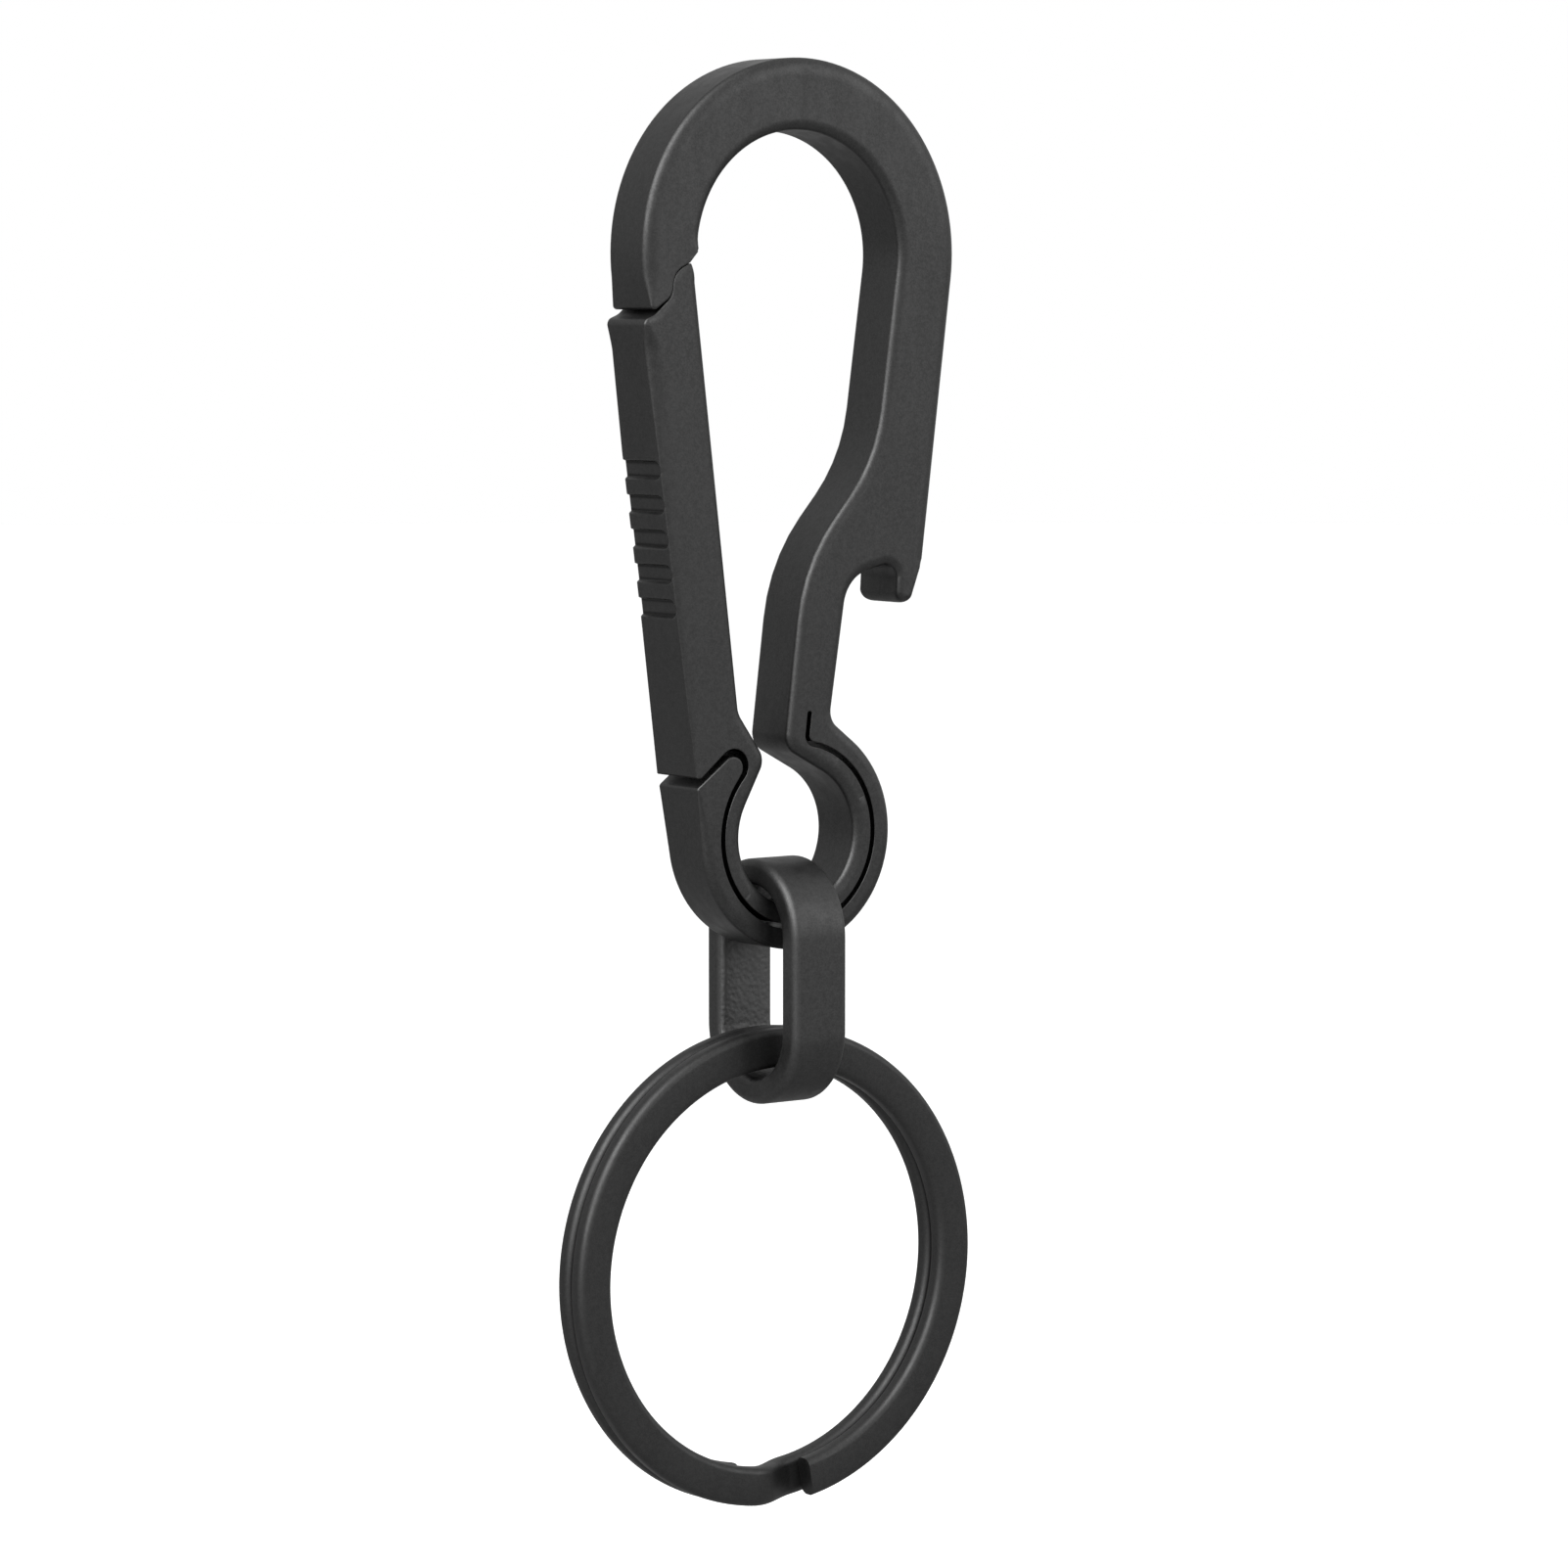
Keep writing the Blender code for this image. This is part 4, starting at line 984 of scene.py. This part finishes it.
class KEYRING_OT_gate(bpy.types.Operator):
    """Make the gate with its thumb grips"""
    bl_idname = "keyring.gate"
    bl_label = "Gate"

    def execute(self, context):
        plate = context.scene.keyring.plate
        shape = PlateShape(plate)
        material = plate_finish(plate)
        plain = plate_mesh("gate_arm", shape.gate(), shape, wall_rings=GRIP_RINGS)
        plain.materials.append(material)
        top_z = shape.heel[1] - plate.grip_drop
        lean = shape.gate_lean
        data = modelled("gate_arm", plain, thumb_grips_tree(), {
            "Top": (shape.gate_outer_x(top_z) - shape.origin[0], 0.0, top_z - shape.origin[1]),
            "Down": (math.sin(lean), 0.0, -math.cos(lean)),
            "Inward": (math.cos(lean), 0.0, math.sin(lean)),
            "Count": plate.grips, "Pitch": plate.grip_pitch, "Width": plate.grip_width,
            "Depth": plate.grip_depth, "Softness": GRIP_SOFTNESS, "Material": material,
            "Front": -plate.thickness / 2 + plate.grip_land + plate.grip_width / 2})
        finish_mesh(data)
        add_piece("gate_arm", data, material, "gate", "coated_plate", "gate")
        return {"FINISHED"}


class KEYRING_OT_link(bpy.types.Operator):
    """Make the connector link of flat strip"""
    bl_idname = "keyring.link"
    bl_label = "Connector link"

    def execute(self, context):
        link = context.scene.keyring.link
        low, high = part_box("connector_link")
        material = coated_metal("coated_strip_finish", link.colour, (0.13, 0.13, 0.13), link.roughness,
                                grain=0.12 * MM, wear_and_highlight=0.12, bump=0.01 * MM, pebble=link.pebble)
        data = modelled("link_loop", bpy.data.meshes.new("link_loop"), strip_loop_tree(), {
            "Width": link.width, "Strip": link.strip, "Edge": link.edge, "Loop depth": high.y - low.y,
            "Loop height": high.z - low.z, "Place": (low + high) / 2,
            "Turn": (math.pi / 2, 0.0, math.pi / 2), "Material": material})
        finish_mesh(data)
        add_piece("link_loop", data, material, "link", "coated_strip", "connector_link")
        return {"FINISHED"}


class KEYRING_OT_split_ring(bpy.types.Operator):
    """Make the split ring of two coils"""
    bl_idname = "keyring.split_ring"
    bl_label = "Split ring"

    def execute(self, context):
        ring = context.scene.keyring.split_ring
        low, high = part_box("split_ring")
        centre = ((low.x + high.x) / 2, 0.0, (low.z + high.z) / 2)
        material = coated_metal("coated_wire_finish", ring.colour, (0.11, 0.11, 0.11), ring.roughness,
                                grain=0.1 * MM, wear_and_highlight=0.1, bump=0.006 * MM)
        data = modelled("split_ring_coils", bpy.data.meshes.new("split_ring_coils"), coiled_wire_tree(), {
            "Radius": min(ring.radius, (high.z - low.z) / 2 - BOX_MARGIN), "Band": ring.band,
            "Coil": ring.coil, "Coil gap": ring.coil_gap, "Edge": ring.edge, "Start": ring.start,
            "Step": ring.jog, "End gap": ring.end_gap, "Count": WIRE_STEPS, "End chamfer": COIL_END_CHAMFER,
            "Place": centre, "Turn": (math.pi / 2, 0.0, 0.0), "Material": material})
        finish_mesh(data)
        add_piece("split_ring_coils", data, material, "split_ring", "coated_wire", "split_ring")
        return {"FINISHED"}


def add_softbox(name, power, size, azimuth, elevation, distance, target):
    """A rectangular area light that looks at the target from this direction."""
    a, e = math.radians(azimuth), math.radians(elevation)
    away = Vector((math.sin(a) * math.cos(e), -math.cos(a) * math.cos(e), math.sin(e)))
    light = bpy.data.lights.new(name, "AREA")
    light.shape = "RECTANGLE"
    light.size, light.size_y = size
    light.energy = power
    lamp = bpy.data.objects.new(name, light)
    lamp.location = target + away * distance
    lamp.rotation_euler = away.to_track_quat("Z", "Y").to_euler()
    bpy.context.scene.collection.objects.link(lamp)


def studio_world(stage):
    """White when seen directly, and for reflections a room that dims from front right to back left."""
    world = bpy.data.worlds.new("studio")
    bpy.context.scene.world = world
    world.use_nodes = True
    graph = Graph(world.node_tree)
    toward = graph.add("ShaderNodeTexCoord").outputs["Generated"]
    facing = graph.vector("DOT_PRODUCT", toward, (0.58, -0.81, 0.0))
    room = graph.ramp(facing, -0.9, 0.9, stage.room_back, stage.room_front)
    path = graph.add("ShaderNodeLightPath").outputs
    lit = graph.add("ShaderNodeMix", {0: path["Is Glossy Ray"], 2: stage.ambient, 3: room})
    strength = graph.add("ShaderNodeMix", {0: path["Is Camera Ray"], 2: lit.outputs[0],
                                           3: stage.backdrop})
    background = world.node_tree.nodes["Background"]
    background.inputs["Color"].default_value = (1.0, 1.0, 1.0, 1.0)
    graph.feed(background.inputs["Strength"], strength.outputs[0])


class KEYRING_OT_stage(bpy.types.Operator):
    """Make the floor, the lights, the white surroundings and the camera"""
    bl_idname = "keyring.stage"
    bl_label = "Studio"

    def execute(self, context):
        scene = context.scene
        stage = scene.keyring.stage
        low, high = (Vector(corner) for corner in CAD_BOX)
        middle = (low + high) / 2
        mesh = bmesh.new()
        bmesh.ops.create_circle(mesh, cap_ends=True, segments=96, radius=3.0)
        for vert in mesh.verts:
            vert.co += Vector((middle.x, middle.y, low.z - stage.floor_drop))
        data = bpy.data.meshes.new("studio_floor")
        mesh.to_mesh(data)
        mesh.free()
        data.materials.append(floor_finish(stage.floor_colour, stage.floor_reflected))
        floor = bpy.data.objects.new("studio_floor", data)
        scene.collection.objects.link(floor)

        add_softbox("key_softbox", stage.key, (0.7, 0.75), -62.0, 38.0, 0.8, middle)
        add_softbox("fill_softbox", stage.fill, (0.45, 0.4), 42.0, 19.0, 0.8, middle)
        add_softbox("top_softbox", stage.top, (0.5, 0.5), -20.0, 75.0, 0.9, middle)
        studio_world(stage)
        scene.view_settings.view_transform = "Standard"

        camera = bpy.data.cameras.new("view")
        camera.sensor_width = 36.0
        camera.lens = stage.lens
        eye = bpy.data.objects.new("view", camera)
        away = Vector((math.sin(stage.azimuth) * math.cos(stage.elevation),
                       -math.cos(stage.azimuth) * math.cos(stage.elevation), math.sin(stage.elevation)))
        eye.location = Vector(stage.aim) + away * stage.distance
        eye.rotation_euler = away.to_track_quat("Z", "Y").to_euler()
        scene.collection.objects.link(eye)
        scene.camera = eye
        return {"FINISHED"}


OPERATORS = (KEYRING_OT_body, KEYRING_OT_leaf, KEYRING_OT_gate, KEYRING_OT_link, KEYRING_OT_split_ring,
             KEYRING_OT_stage)


class KEYRING_PT_panel(bpy.types.Panel):
    """Lists what makes the keyring and its studio"""
    bl_idname = "KEYRING_PT_panel"
    bl_label = "Carabiner keyring"
    bl_space_type = "VIEW_3D"
    bl_region_type = "UI"
    bl_category = "Keyring"

    def draw(self, context):
        settings = context.scene.keyring
        for group in ("plate", "link", "split_ring", "stage"):
            box = self.layout.box()
            box.label(text=group.replace("_", " ").capitalize())
            values = getattr(settings, group)
            for key in values.__annotations__:
                box.prop(values, key)
        for operator in OPERATORS:
            self.layout.operator(operator.bl_idname)


CLASSES = (KEYRING_PG_plate, KEYRING_PG_link, KEYRING_PG_split_ring, KEYRING_PG_stage,
           KEYRING_PG_settings, *OPERATORS, KEYRING_PT_panel)


def register():
    for cls in CLASSES:
        bpy.utils.register_class(cls)
    bpy.types.Scene.keyring = PointerProperty(type=KEYRING_PG_settings)


def unregister():
    del bpy.types.Scene.keyring
    for cls in reversed(CLASSES):
        bpy.utils.unregister_class(cls)


def main():
    register()
    for operator in OPERATORS:
        group, name = operator.bl_idname.split(".")
        getattr(getattr(bpy.ops, group), name)()


if __name__ == "__main__":
    main()
